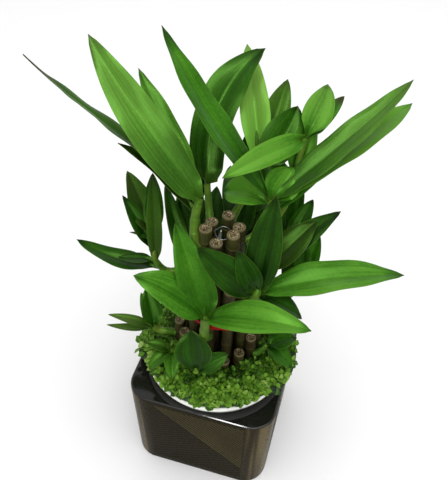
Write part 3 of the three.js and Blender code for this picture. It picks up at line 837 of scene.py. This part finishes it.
def make_leaflet_mat():
    """Leaflets that lie over each other all over the mound, like tiles, down to the liner's lip."""
    draw = random.Random(29)
    places, tones = [], []
    spots = mound_spots(MAT["count"], MOUND["inner"] - 2.5, MOUND["outer"] - 0.5, draw)
    for turn, radius, point, lean in spots:
        size = draw.uniform(*MAT["size"])
        base = rotation("Z", turn) @ rotation("Y", min(lean, 50) + either_way(draw, MAT["lean"]))
        base = base @ rotation("X", either_way(draw, MAT["lie"]))
        shape = base @ rotation("Z", -90 + either_way(draw, MAT["heading"]))
        shape = shape @ rotation("X", draw.uniform(*MAT["lift"]))
        back = shape @ np.array([0, 0.45 * size, 0])
        at = point - back + base @ np.array([0, 0, draw.uniform(*MAT["sink"])])
        places.append((shape * size * MM, at * MM))
        patch = 0.8 * noise.noise(Vector(point) * 0.07)
        # Darker beside the canes: painted shade under the plant.
        tones.append(draw.uniform(0.10, 0.92) + patch - SHADE["mat"] * shaded(radius))
    return grow_leaflets("leaflet_mat", places, tones)


def make_sprigs():
    """Short sprigs that stand out of the mat: three pairs of leaflets, crosswise, and one on top."""
    draw = random.Random(11)
    places, tones = [], []
    spots = mound_spots(SPRIGS["count"], MOUND["inner"] - 1, MOUND["outer"] - 5, draw)
    for turn, radius, point, lean in spots:
        base = point - np.array([0, 0, 3.4])
        stand = rotation("Z", turn) @ rotation("Y", 0.6 * lean + draw.uniform(*SPRIGS["lean"]))
        stand = stand @ rotation("X", either_way(draw, SPRIGS["lie"]))
        spin = draw.uniform(0, 360)
        size = draw.uniform(*SPRIGS["size"])
        bright = draw.random()
        for level in range(3):
            height = (2.0 + level * 1.9) * size
            for side in (0, 1):
                reach = size * draw.uniform(*SPRIGS["leaflet"]) * (1 - 0.1 * level)
                heading = spin + 90 * level + 180 * side + either_way(draw, 18)
                shape = stand @ rotation("Z", heading) @ rotation("X", 8 + 12 * level + either_way(draw, 14))
                shape = shape @ rotation("Y", either_way(draw, 18))
                places.append((shape * reach * MM, (base + stand @ np.array([0, 0, height])) * MM))
                # Darker beside the canes: painted shade under the plant.
                tone = 0.14 + 0.17 * level + 0.38 * bright - SHADE["sprigs"] * shaded(radius)
                tones.append(tone + draw.uniform(-0.1, 0.18))
        reach = size * draw.uniform(*SPRIGS["top"])
        shape = stand @ rotation("Z", spin + 45) @ rotation("X", 52 + either_way(draw, 12))
        places.append((shape * reach * MM, (base + stand @ np.array([0, 0, 7.2 * size])) * MM))
        tones.append(0.62 + 0.34 * bright)
    return grow_leaflets("leaflet_sprigs", places, tones)


# ---- the canes ----
def cane_rings(radius, top):
    """A cane from its foot up: ridges 20 mm apart, each third one stronger, and a hollowed cut end."""
    rings = [(0.6, CANE_FOOT), (radius - 0.5, CANE_FOOT), (radius, CANE_FOOT + 0.6)]
    first, gap, lowest = top - 14, 20, MOUND["rim"] - 4
    for step in reversed(range(math.ceil((first - lowest) / gap))):
        height, ridge = first - step * gap, 0.38 if step % 3 else 0.6
        rings += [
            (radius, height - 4), (radius + ridge * 0.35, height - 1.6), (radius + ridge, height - 0.5),
            (radius + ridge, height), (radius + ridge * 0.2, height + 0.35),
            (radius, height + 1.2), (radius, height + 5),
        ]
    return rings + [
        (radius, top - 1.0), (radius - 0.12, top - 0.35), (radius - 0.45, top), (radius - 1.25, top - 0.02),
        (radius - 1.5, top - 0.55), (radius * 0.5, top - 0.85), (radius * 0.22, top - 1.25), (0.3, top - 1.4),
    ]


def make_cane(model, tier, number, top, spin):
    """A copy of the turned cane made uneven, spun and stood in its place."""
    radius = TIERS[tier]["radius"]
    cane = copy_of(model, "%s_tier_cane_%02d" % (tier, number))
    points = points_of(cane) / MM
    reach, height = np.hypot(points[:, 0], points[:, 1]), points[:, 2]
    seed = Vector((number * 7.3, radius * 11.1, top * 0.37))
    rough = np.array([noise.noise(Vector((x * 0.22, y * 0.22, z * 0.05)) + seed) for x, y, z in points])
    pith = np.array([noise.noise(Vector((x, y, 0)) * 0.9 + seed) for x, y, _ in points])
    bark = (reach > radius - 0.6) & (height < top - 0.1)
    wood = (reach < radius - 1.35) & (height > top - 2)
    end = wood | ((reach < radius - 0.5) & (height > top - 3))
    moved = points.copy()
    moved[:, :2] *= np.where(bark, 1 + 0.05 * rough, 1)[:, None]
    moved[:, 2] += np.where(wood, 0.55 * pith, 0)
    moved = moved @ rotation("Z", spin).T
    moved[:, :2] += cane_axis(tier, number - 1)
    set_points(cane, moved * MM)
    tone = TIERS[tier]["tones"][number - 1]
    mark_points(cane, "cane", reach / radius, (top - height) / 200, tone, end * 1.0)
    finish_piece(cane, "cane", ["cane_%s_%02d" % (tier, number)], CANE_BARK)


def make_canes():
    draw = random.Random(5)
    models = {}
    for tier, facts in TIERS.items():
        for number, cut in enumerate(facts["cuts"], 1):
            top = facts["top"] + cut
            if (tier, top) not in models:
                models[tier, top] = turn_on_wheel("cane_model", cane_rings(facts["radius"], top), 28)
                smooth(models[tier, top], 38)
            make_cane(models[tier, top], tier, number, top, draw.uniform(0, 360))
    for model in models.values():
        bpy.data.objects.remove(model)


# ---- the ties ----
def make_ribbon(tier, height):
    """A taut band that runs straight from cane to cane of one tier."""
    facts, width = TIERS[tier], RIBBON["width"]
    posts = []
    for k in range(facts["count"]):
        deselect_all()
        bpy.ops.mesh.primitive_cylinder_add(
            vertices=32,
            radius=(facts["radius"] + RIBBON["clearance"]) * MM,
            depth=width * MM,
            location=Vector((*cane_axis(tier, k), height)) * MM,
        )
        posts.append(name_piece("ribbon_post"))
    ribbon = join(posts, tier + "_ribbon")
    edit()
    select_all()
    bpy.ops.mesh.convex_hull()
    select_faces(ribbon, lambda at, normal: abs(normal.z) > 0.8)
    bpy.ops.mesh.delete(type="ONLY_FACE")
    select_all()
    bpy.ops.mesh.normals_make_consistent(inside=False)
    leave_edit()
    settle(ribbon)
    edit()
    select_edges(ribbon, lambda a, b: abs(a.z - b.z) > 0.003)
    bpy.ops.mesh.subdivide(number_cuts=5)
    leave_edit()
    points = points_of(ribbon) / MM
    middle = (points[:, 2] - height) / (width / 2)
    radius, turn = np.hypot(points[:, 0], points[:, 1]), np.arctan2(points[:, 1], points[:, 0])
    crinkle = 0.12 * np.sin(turn * 23 + 2 * middle) * (1 - middle**2) - 0.10 * middle**2
    points[:, :2] *= ((radius + 0.15 + crinkle) / radius)[:, None]
    points[:, 2] += 0.35 * np.sin(turn * 3 + 1) * (tier == "mid") + 0.25 * np.sin(turn * 2)
    set_points(ribbon, points * MM)
    apply_modifier(ribbon, "SOLIDIFY", thickness=RIBBON["thickness"] * MM, offset=1)
    smooth(ribbon, 60)
    finish_piece(ribbon, "ribbon", ["ribbon_tie_" + tier], RIBBON_RED)


def make_wire():
    """A hoop of thin wire whose two ends are laid past each other."""
    deselect_all()
    bpy.ops.curve.primitive_bezier_circle_add(radius=WIRE["ring"] * MM, location=(0, 0, WIRE["height"] * MM))
    wire = name_piece("wire_loop")
    spline = wire.data.splines[0]
    spline.use_cyclic_u = False
    spline.bezier_points.add(1)
    first, last = spline.bezier_points[0], spline.bezier_points[-1]
    last.co = first.co + Vector((0.9 * MM, 2.4 * MM, 0.9 * MM))
    last.handle_left = last.co - Vector((0, 2.6 * MM, 0))
    last.handle_right = last.co + Vector((0, 1 * MM, 0))
    for k, point in enumerate(spline.bezier_points):
        point.co.z += 0.4 * MM * math.sin(k * 1.7)
    wire.data.bevel_depth = WIRE["radius"] * MM
    wire.data.bevel_resolution = 4
    wire.data.resolution_u = 24
    wire.data.use_fill_caps = True
    pick(wire)
    bpy.ops.object.convert(target="MESH")
    settle(wire)
    wire = name_piece("wire_loop")
    smooth(wire, 50)
    finish_piece(wire, "wire", ["wire_hoop"], WIRE_GREY)


# ---- the leafy shoots ----
LEAF_STEPS = 48
# Folds are in degrees from flat and lengths in mm; arch is a share of half the width.
LEAF = {
    "fold": 16, "foot_fold": 52, "tip_fold": 8, "arch": 0.07, "wave": 0.8, "wave_length": 46,
    "keel": 0.45, "half_thickness": 0.40, "half_edge": 0.16,
}
STEM_TAPER = 0.22  # a stem is this share thinner at its end than at its cane


def make_blank(name, columns, rows):
    """A flat blade, two units wide and one long, with the thickness and the marks that every leaf keeps."""
    deselect_all()
    bpy.ops.mesh.primitive_grid_add(x_subdivisions=columns, y_subdivisions=rows, size=2)
    blank = name_piece(name)
    edit()
    select_all()
    bpy.ops.transform.resize(value=(1, 0.5, 1))
    bpy.ops.transform.translate(value=(0, 0.5, 0))
    leave_edit()
    apply_modifier(blank, "SOLIDIFY", thickness=0.02, offset=0)
    smooth(blank, 60)
    layer = blank.data.uv_layers.new(name="blade_uv")
    corners = np.array([loop.vertex_index for loop in blank.data.loops])
    layer.data.foreach_set("uv", points_of(blank)[corners][:, :2].astype(np.float32).ravel())
    return blank


def blade_share(t, foot, widest):
    """Half the blade's width as a share of its greatest, from the foot (0) to the tip (1)."""
    rising = foot + (1 - foot) * np.sin(np.clip(t / widest, 0, 1) * math.pi / 2) ** 1.2
    falling = 0.05 + 0.95 * (1 - np.clip((t - widest) / (1 - widest), 0, 1) ** 2.1)
    return np.where(t < widest, rising, falling) * (1 - 0.85 * smoothstep(0.965, 1.0, t))


def leaf_ways(leaf, t):
    """At the shares t of a leaf's length: the way ahead, and the level way to its left."""
    pitch = np.radians(leaf["rise"] - leaf["droop"] * t**1.3)
    heading = np.radians(leaf["turn"] + leaf["sway"] * t)
    flat, along_x, along_y = np.cos(pitch), np.cos(heading), np.sin(heading)
    ahead = np.stack([flat * along_x, flat * along_y, np.sin(pitch)], axis=1)
    return ahead, np.stack([-along_y, along_x, np.zeros(len(t))], axis=1)


def shape_leaf(blank, root, leaf, seed, stem_radius):
    """Bends a copy of the flat blade along its middle line, in mm, and folds, arches and waves its halves."""
    points = points_of(blank)
    across, t, face = points[:, 0], points[:, 1], points[:, 2] / 0.01
    length, width = leaf["length"], leaf["width"]
    paces, _ = leaf_ways(leaf, (np.arange(LEAF_STEPS) + 0.5) / LEAF_STEPS)
    line = np.concatenate([[np.zeros(3)], np.cumsum(paces, axis=0)]) * (length / LEAF_STEPS)
    stations = np.arange(LEAF_STEPS + 1) / LEAF_STEPS
    centre = np.stack([np.interp(t, stations, line[:, k]) for k in range(3)], axis=1)
    ahead, level = leaf_ways(leaf, t)
    roll = math.radians(leaf["roll"])
    side = level * math.cos(roll) + np.cross(ahead, level) * math.sin(roll)
    up = np.cross(ahead, side)
    draw = random.Random(seed)
    reach = width / 2 * blade_share(t, leaf["foot"], leaf["widest"])
    foot = 1 - smoothstep(0.0, min(0.3, 16 / length), t)
    fold = LEAF["fold"] + LEAF["foot_fold"] * foot - LEAF["tip_fold"] * smoothstep(0.8, 1, t)
    fold = np.radians(fold)
    a = np.abs(across)
    crease = np.sqrt(a**2 + 0.012) - 0.11
    arch = LEAF["arch"] * np.sin(np.pi * a) * (1 - foot)
    phase = math.pi * 2 * (t * length / LEAF["wave_length"] + draw.random())
    phase = phase + (across > 0) * draw.uniform(1, 4)
    wave = LEAF["wave"] * min(1, width / 24) * a**2 * np.sin(phase)
    wave = wave * smoothstep(0.05, 0.25, t) * (1 - smoothstep(0.85, 1, t))
    pleat = leaf["pleat"] * np.cos(8 * np.pi * a) * (1 - foot)
    out = across * reach * np.cos(fold)
    lift = reach * (crease * np.sin(fold) + arch) + wave + pleat
    middle, edge = LEAF["half_thickness"], LEAF["half_edge"]
    thickness = (middle - (middle - edge) * a**4) * face
    keel = LEAF["keel"] * np.exp(-((across / 0.09) ** 2)) * (face < 0) * (1 - smoothstep(0.5, 1, t))
    clasp = (stem_radius + 0.5) * foot
    lift = lift + thickness - keel - clasp
    piece = copy_of(blank, "leaf")
    set_points(piece, (root + centre + side * out[:, None] + up * lift[:, None]) * MM)
    layer = piece.data.uv_layers["blade_uv"].data
    flat = np.empty(len(layer) * 2, dtype=np.float32)
    layer.foreach_get("uv", flat)
    flat = flat.reshape(-1, 2) * np.array([width / 20, length / 10]) + seed * np.array([3.7, 1.3])
    layer.foreach_set("uv", flat.astype(np.float32).ravel())
    mark_points(piece, "blade", a, t, leaf["tone"], (face < 0) * 1.0)
    mark_points(piece, "ageing_and_sheen", leaf["olive"], smoothstep(1 - leaf["brown"], 1.0, t), leaf["pale"], 1.0)
    dress(piece, BLADE_GREEN)
    return piece


def through(points, share):
    """A point of the smooth curve through the points, at a share 0..1 of its spans."""
    points = [np.array(p, dtype=float) for p in points]
    spans = len(points) - 1
    k = min(int(spans * share), spans - 1)
    w = spans * share - k
    before = points[k - 1] if k > 0 else 2 * points[0] - points[1]
    after = points[k + 2] if k + 2 <= spans else 2 * points[spans] - points[spans - 1]
    p1, p2 = points[k], points[k + 1]
    gaps = ((before, p1), (p1, p2), (p2, after))
    d0, d1, d2 = (max(np.sum((b - a) ** 2) ** 0.25, 1e-4) for a, b in gaps)
    t1 = ((p1 - before) / d0 - (p2 - before) / (d0 + d1) + (p2 - p1) / d1) * d1
    t2 = ((p2 - p1) / d1 - (after - p1) / (d1 + d2) + (after - p2) / d2) * d1
    return p1 + t1 * w + (3 * (p2 - p1) - 2 * t1 - t2) * w**2 + (2 * (p1 - p2) + t1 + t2) * w**3


def make_stem(way, start, thickness):
    """A round stem that starts at the bark, with a ring where each sheath ends."""
    count = 20 * (len(way) - 1)
    line = [through(way, start + (1 - start) * k / count) for k in range(count + 1)]
    shape = bpy.data.curves.new("stem", "CURVE")
    shape.dimensions = "3D"
    spline = shape.splines.new("POLY")
    spline.points.add(count)
    travelled = 0.0
    for k, point in enumerate(line):
        travelled += float(np.linalg.norm(point - line[max(k - 1, 0)]))
        sheath = (travelled % 13.0) / 13.0
        collar = 1.12 if k < 2 else 1.0
        spline.points[k].co = (*(point * MM), 1)
        spline.points[k].radius = thickness * (1 - STEM_TAPER * k / count) * (1 + 0.13 * sheath**2) * collar
    shape.bevel_depth = 1.0 * MM
    shape.bevel_resolution = 3
    shape.use_fill_caps = True
    stem = bpy.data.objects.new("stem", shape)
    bpy.context.collection.objects.link(stem)
    pick(stem)
    bpy.ops.object.convert(target="MESH")
    stem = name_piece("stem")
    smooth(stem, 50)
    dress(stem, STEM_GREEN)
    return stem


def leaf(start, turn, rise, droop, length, width, tone, **more):
    """A leaf's facts. Start counts the stem's points from the cane. Turn and rise are the way that it leads
    off, droop bends it down and sway aside, and roll turns its face. Foot and widest set its outline, pleat
    its relief, and olive and brown the way it has aged. Pale makes its upper blade paler, partly its own
    colour and partly a painted sheen. Tone sets how light or dark it is painted, partly its own colour and
    partly the painted light or shade that falls on it."""
    facts = {"sway": 0, "roll": 0, "foot": 0.26, "widest": 0.4}
    facts |= {"pleat": 0.07, "olive": 0, "brown": 0.03, "pale": 0}
    facts |= {"start": start, "turn": turn, "rise": rise, "droop": droop}
    return facts | {"length": length, "width": width, "tone": tone} | more


# Each shoot: its name, its cane, the height where it starts, its stem's radius and points, and its leaves.
SHOOTS = [
    ("top_left", "top", 4, 284, 4.6, [(-20, -9, 289), (-24, -3, 306), (-23, 6, 326)], [
        leaf(3, 155, 18, -39, 185, 22, 0.60, sway=49, roll=20, olive=0.35, brown=0.32),
        leaf(3, 169, 46, 10, 160, 35, 0.72, sway=-25, roll=-30, foot=0.6, pale=0.26),
        leaf(2.9, 138, 36, 0, 125, 25, 0.90, olive=0.15),
        leaf(2.7, 142, 24, 0, 110, 24, 0.22, sway=19),
        leaf(2.4, 141, 28, -11, 90, 18, 0.45, sway=60, olive=0.45),
    ]),
    ("top_back_left", "top", 3, 286, 3.6, [(-18, 22, 296), (-25, 36, 318)], [
        leaf(2, 120, 44, 6, 135, 37, 0.46, sway=-90, roll=18, foot=0.8, widest=0.6),
        leaf(1.6, 127, 19, 0, 50, 20, 0.20, roll=-20),
    ]),
    ("top_back", "top", 2, 286, 3.6, [(2, 23, 294), (8, 40, 308), (16, 60, 328)], [
        leaf(3, 113, 41, 20, 120, 28, 1.22, roll=-8, pale=0.6),
        leaf(3, 87, 34, 10, 90, 28, 0.60, roll=10, olive=0.5),
        leaf(3, 54, 33, -7, 65, 36, 0.48, sway=27, roll=25, foot=0.5, widest=0.5),
        leaf(2, 109, 29, 19, 100, 18, 0.30, sway=-40),
    ]),
    ("top_right", "top", 1, 284, 3.6, [(25, 16, 288), (42, 40, 300), (51, 69, 362)], [
        leaf(3, 230, 2, 15, 85, 21, 1.02, roll=-44, foot=0.7, pale=0.12),
        leaf(3, 68, 14, 8, 62, 16, 0.74, roll=22, foot=0.9, brown=0.4),
        leaf(3, 75, 24, 9, 60, 27, 0.92, sway=16, roll=14, pale=0.2),
        leaf(2.5, 84, 50, 0, 60, 24, 0.78, roll=20, foot=0.5),
        leaf(2, 105, 20, 0, 65, 32, 0.70, sway=28),
    ]),
    ("mid_right", "mid", 2, 234, 4.2, [(38, -21, 254), (40, 0, 264), (39, 12, 290), (35, 28, 322)], [
        leaf(4, 173, 44, -5, 168, 28, 0.66, sway=-26),
        leaf(4, 142, 39, 15, 95, 12, 0.90, roll=60),
        leaf(4, 40, 31, 5, 158, 29, 0.58, sway=15, foot=0.45, pale=0.2),
        leaf(3.9, 42, 26, 18, 160, 30, 1.25, sway=15, widest=0.6, pale=0.15),
        leaf(3.9, 160, 11, 48, 50, 30, 0.98, sway=12, roll=-25, widest=0.6),
        leaf(4, 66, 35, 0, 34, 32, 0.86, roll=24, foot=0.6, widest=0.5),
        leaf(3.7, 54, 14, 5, 60, 8, 0.55, roll=40),
        leaf(1.1, 20, 19, 25, 129, 38, 0.82, pale=0.04),
        leaf(1.9, 57, 24, 13, 92, 24, 0.26, sway=-9, roll=10),
        leaf(1.9, 54, 32, 10, 66, 32, 0.30, olive=0.3),
        leaf(1.05, 175, 69, 5, 51, 22, 0.38, roll=-60, foot=0.5),
        leaf(1, 199, 49, 10, 74, 30, 0.30, sway=-20, roll=-50, pleat=0.28),
        leaf(1, 353, 8, 50, 46, 22, 0.30),
        leaf(1, 91, 68, -6, 95, 31, 0.28, sway=-15, roll=10, foot=0.5),
    ]),
    ("mid_front", "mid", 10, 190, 5.0, [(-3, -37, 197), (-2, -42, 213), (-1, -43, 234)], [
        leaf(3, 136, 58, 5, 90, 33, 0.78, sway=6, roll=-18, foot=0.65, widest=0.28),
        leaf(3, 187, 50, 35, 77, 36, 0.80, roll=-15),
        leaf(3, 345, 36, 45, 100, 38, 0.98, sway=20),
    ]),
    ("mid_left", "mid", 7, 224, 3.6, [(-36, 12, 228), (-54, 6, 226), (-66, 6, 238), (-69, 14, 258)], [
        leaf(2.5, 184, -10, -50, 86, 24, 0.48),
        leaf(1, 126, 37, 5, 86, 18, 0.30),
        leaf(1, 114, 32, 5, 86, 18, 0.22),
        leaf(3, 190, -8, -10, 36, 14, 0.35),
        leaf(4, 127, 23, -10, 72, 28, 0.30, sway=12, olive=0.4, widest=0.35),
        leaf(2.9, 109, 78, 0, 90, 15, 0.50, olive=0.4, foot=0.6),
        leaf(3.4, 145, 44, 1, 60, 18, 0.32, sway=8),
        leaf(4, 110, 40, 5, 62, 20, 0.28),
        leaf(3.9, 183, 20, 20, 24, 5, 0.30, brown=0.5),
    ]),
    ("mid_back_left", "mid", 6, 230, 3.6, [(-22, 33, 240), (-34, 40, 258), (-40, 46, 282)], [
        leaf(3, 150, 60, 10, 40, 16, 0.35),
        leaf(3, 80, 50, 10, 32, 16, 0.38),
        leaf(2, 120, 20, 20, 80, 24, 0.30),
        leaf(1, 99, 27, 5, 66, 24, 0.25),
        leaf(1, 124, 35, 5, 66, 20, 0.30),
        leaf(1, 84, -8, 20, 38, 26, 0.18),
    ]),
    ("mid_back", "mid", 5, 228, 3.6, [(3, 38, 236), (5, 48, 246)], [
        leaf(2, 112, 25, 30, 92, 28, 0.30),
        leaf(2, 72, 22, 30, 96, 28, 0.30),
        leaf(2, 45, 25, 10, 60, 28, 0.28),
        leaf(1.8, 92, 40, 20, 60, 22, 0.32),
    ]),
    ("mid_back_right", "mid", 4, 230, 3.6, [(26, 32, 240), (42, 40, 250), (54, 42, 262)], [
        leaf(3, 70, 45, 10, 46, 20, 0.40),
        leaf(2.5, 99, 35, 5, 64, 22, 0.30),
        leaf(2.5, 84, 30, 5, 62, 16, 0.35),
    ]),
    ("low_left", "low", 1, 164, 3.6, [(-46, -20, 167), (-55, -22, 168), (-60, -23, 172)], [
        leaf(3, 190, 20, 10, 46, 12, 0.55, olive=0.45, pale=0.35),
        leaf(3, 200, -5, -30, 46, 10, 0.55, olive=0.45, pale=0.35),
        leaf(3, 134, 35, -5, 36, 14, 0.60, olive=0.35, pale=0.15),
        leaf(2.6, 128, 50, 5, 41, 22, 0.45),
    ]),
    ("low_front_left", "low", 2, 156, 3.6, [(-32, -34, 159), (-38, -37, 161)], [
        leaf(2, 185, 25, 30, 26, 14, 0.65, olive=0.4),
        leaf(2, 235, 0, 50, 28, 16, 0.75, olive=0.3),
        leaf(1.8, 290, 0, 40, 30, 16, 0.80, olive=0.2),
    ]),
    ("low_front", "low", 3, 160, 3.6, [(-9, -47, 161), (-5, -58, 170)], [
        leaf(2, 122, 70, 10, 44, 36, 0.32, roll=-20, widest=0.5),
        leaf(2, 30, 39, 20, 36, 20, 0.42, roll=50),
    ]),
    ("low_right", "low", 7, 158, 3.6, [(43, -14, 160), (47, -10, 162), (51, -6, 166)], [
        leaf(3, 30, 12, 20, 30, 24, 0.55),
        leaf(3, 335, 5, 50, 34, 20, 0.62),
    ]),
    ("low_back_right", "low", 9, 172, 3.6, [(46, 24, 184), (60, 34, 196), (70, 42, 210)], [
        leaf(3, 79, 43, 10, 52, 20, 0.62),
        leaf(3, 100, 50, 10, 44, 18, 0.45),
        leaf(2, 95, 30, 30, 80, 22, 0.32),
    ]),
    ("low_back", "low", 11, 170, 3.6, [(14, 44, 178), (16, 54, 186)], [
        leaf(2, 70, 20, 30, 84, 24, 0.32),
        leaf(2, 110, 25, 30, 76, 22, 0.34),
    ]),
    ("low_back_left", "low", 13, 170, 3.6, [(-22, 42, 178), (-28, 50, 186)], [
        leaf(2, 120, 25, 30, 84, 22, 0.32),
        leaf(2, 150, 30, 30, 60, 20, 0.34),
    ]),
]


def make_shoots():
    wide = make_blank("long_blank", 16, 44)
    small = make_blank("short_blank", 12, 24)
    seed = 0
    for name, tier, number, height, thickness, way, leaves in SHOOTS:
        axis = np.array(cane_axis(tier, number - 1))
        points = [(*axis, height), *way]
        spans = len(way)
        start = 0.0
        while math.hypot(*(through(points, start)[:2] - axis)) < TIERS[tier]["radius"] + 0.1:
            start += 0.002
        pieces = [make_stem(points, start, thickness)]
        for one in leaves:
            seed += 1
            share = one["start"] / spans
            radius = min(thickness * (1 - STEM_TAPER * share), one["width"] * 0.18)
            blank = wide if one["length"] > 58 else small
            pieces.append(shape_leaf(blank, through(points, share), one, seed, radius))
        finish_piece(join(pieces, "leafy_shoot_" + name), "leaf", ["shoot_" + name])
    bpy.data.objects.remove(wide)
    bpy.data.objects.remove(small)


# ---- the studio ----
def make_studio():
    deselect_all()
    bpy.ops.mesh.primitive_plane_add(size=12, location=(0, 0, 0))
    floor = name_piece("studio_floor")
    dress(floor, make_floor_finish())
    world = bpy.data.worlds.new("studio_air")
    world.use_nodes = True
    background = world.node_tree.nodes["Background"].inputs
    background["Color"].default_value = (1.0, 1.0, 1.0, 1)
    background["Strength"].default_value = 0.92
    bpy.context.scene.world = world
    lamps = [  # name, place, what it looks at, width, depth, watts
        ("overhead_softbox", (0.22, -0.12, 1.8), (0, 0, 0.2), 1.2, 1.2, 10.0),
        ("front_softbox", (0.5, -1.7, 1.5), (0, 0, 0.25), 1.2, 1.0, 6.0),
        ("rim_glint_strip", (-0.042, -0.374, 0.855), (-0.042, -0.02, 0.0), 0.09, 1.2, 12.0),
    ]
    for name, at, towards, width, depth, power in lamps:
        data = bpy.data.lights.new(name, "AREA")
        data.shape = "RECTANGLE"
        data.size, data.size_y = width, depth
        data.energy = power
        lamp = bpy.data.objects.new(name, data)
        lamp.location = at
        lamp.rotation_euler = (Vector(towards) - Vector(at)).to_track_quat("-Z", "Y").to_euler()
        lamp.visible_diffuse = name != "rim_glint_strip"
        bpy.context.collection.objects.link(lamp)


CAMERA = {"heading": 14.25, "down": 45.42, "roll": 2.54, "at": (98.4, -380.6, 689.5), "lens": 52.135714}


def make_camera():
    heading, down, roll = (math.radians(CAMERA[key]) for key in ("heading", "down", "roll"))
    level = Vector((-math.sin(heading), math.cos(heading), 0))
    right = Vector((math.cos(heading), math.sin(heading), 0))
    forward = level * math.cos(down) - Vector((0, 0, math.sin(down)))
    up = level * math.sin(down) + Vector((0, 0, math.cos(down)))
    camera_right = right * math.cos(roll) + up * math.sin(roll)
    camera_up = up * math.cos(roll) - right * math.sin(roll)
    data = bpy.data.cameras.new("studio_camera")
    data.sensor_width = 36
    data.sensor_fit = "HORIZONTAL"
    data.lens = CAMERA["lens"]
    data.clip_start = 0.01
    data.clip_end = 40
    camera = bpy.data.objects.new("studio_camera", data)
    bpy.context.collection.objects.link(camera)
    turn = Matrix((camera_right, camera_up, -forward)).transposed().to_4x4()
    camera.matrix_world = Matrix.Translation(Vector(CAMERA["at"]) * MM) @ turn
    bpy.context.scene.camera = camera
    view = bpy.context.scene.view_settings
    view.view_transform = "Standard"
    view.look = "None"


make_camera()
make_pot()
make_liner()
make_soil()
make_bed()
make_leaflet_mat()
make_sprigs()
make_canes()
for tier, height in RIBBON["heights"].items():
    make_ribbon(tier, height)
make_wire()
make_shoots()
make_studio()
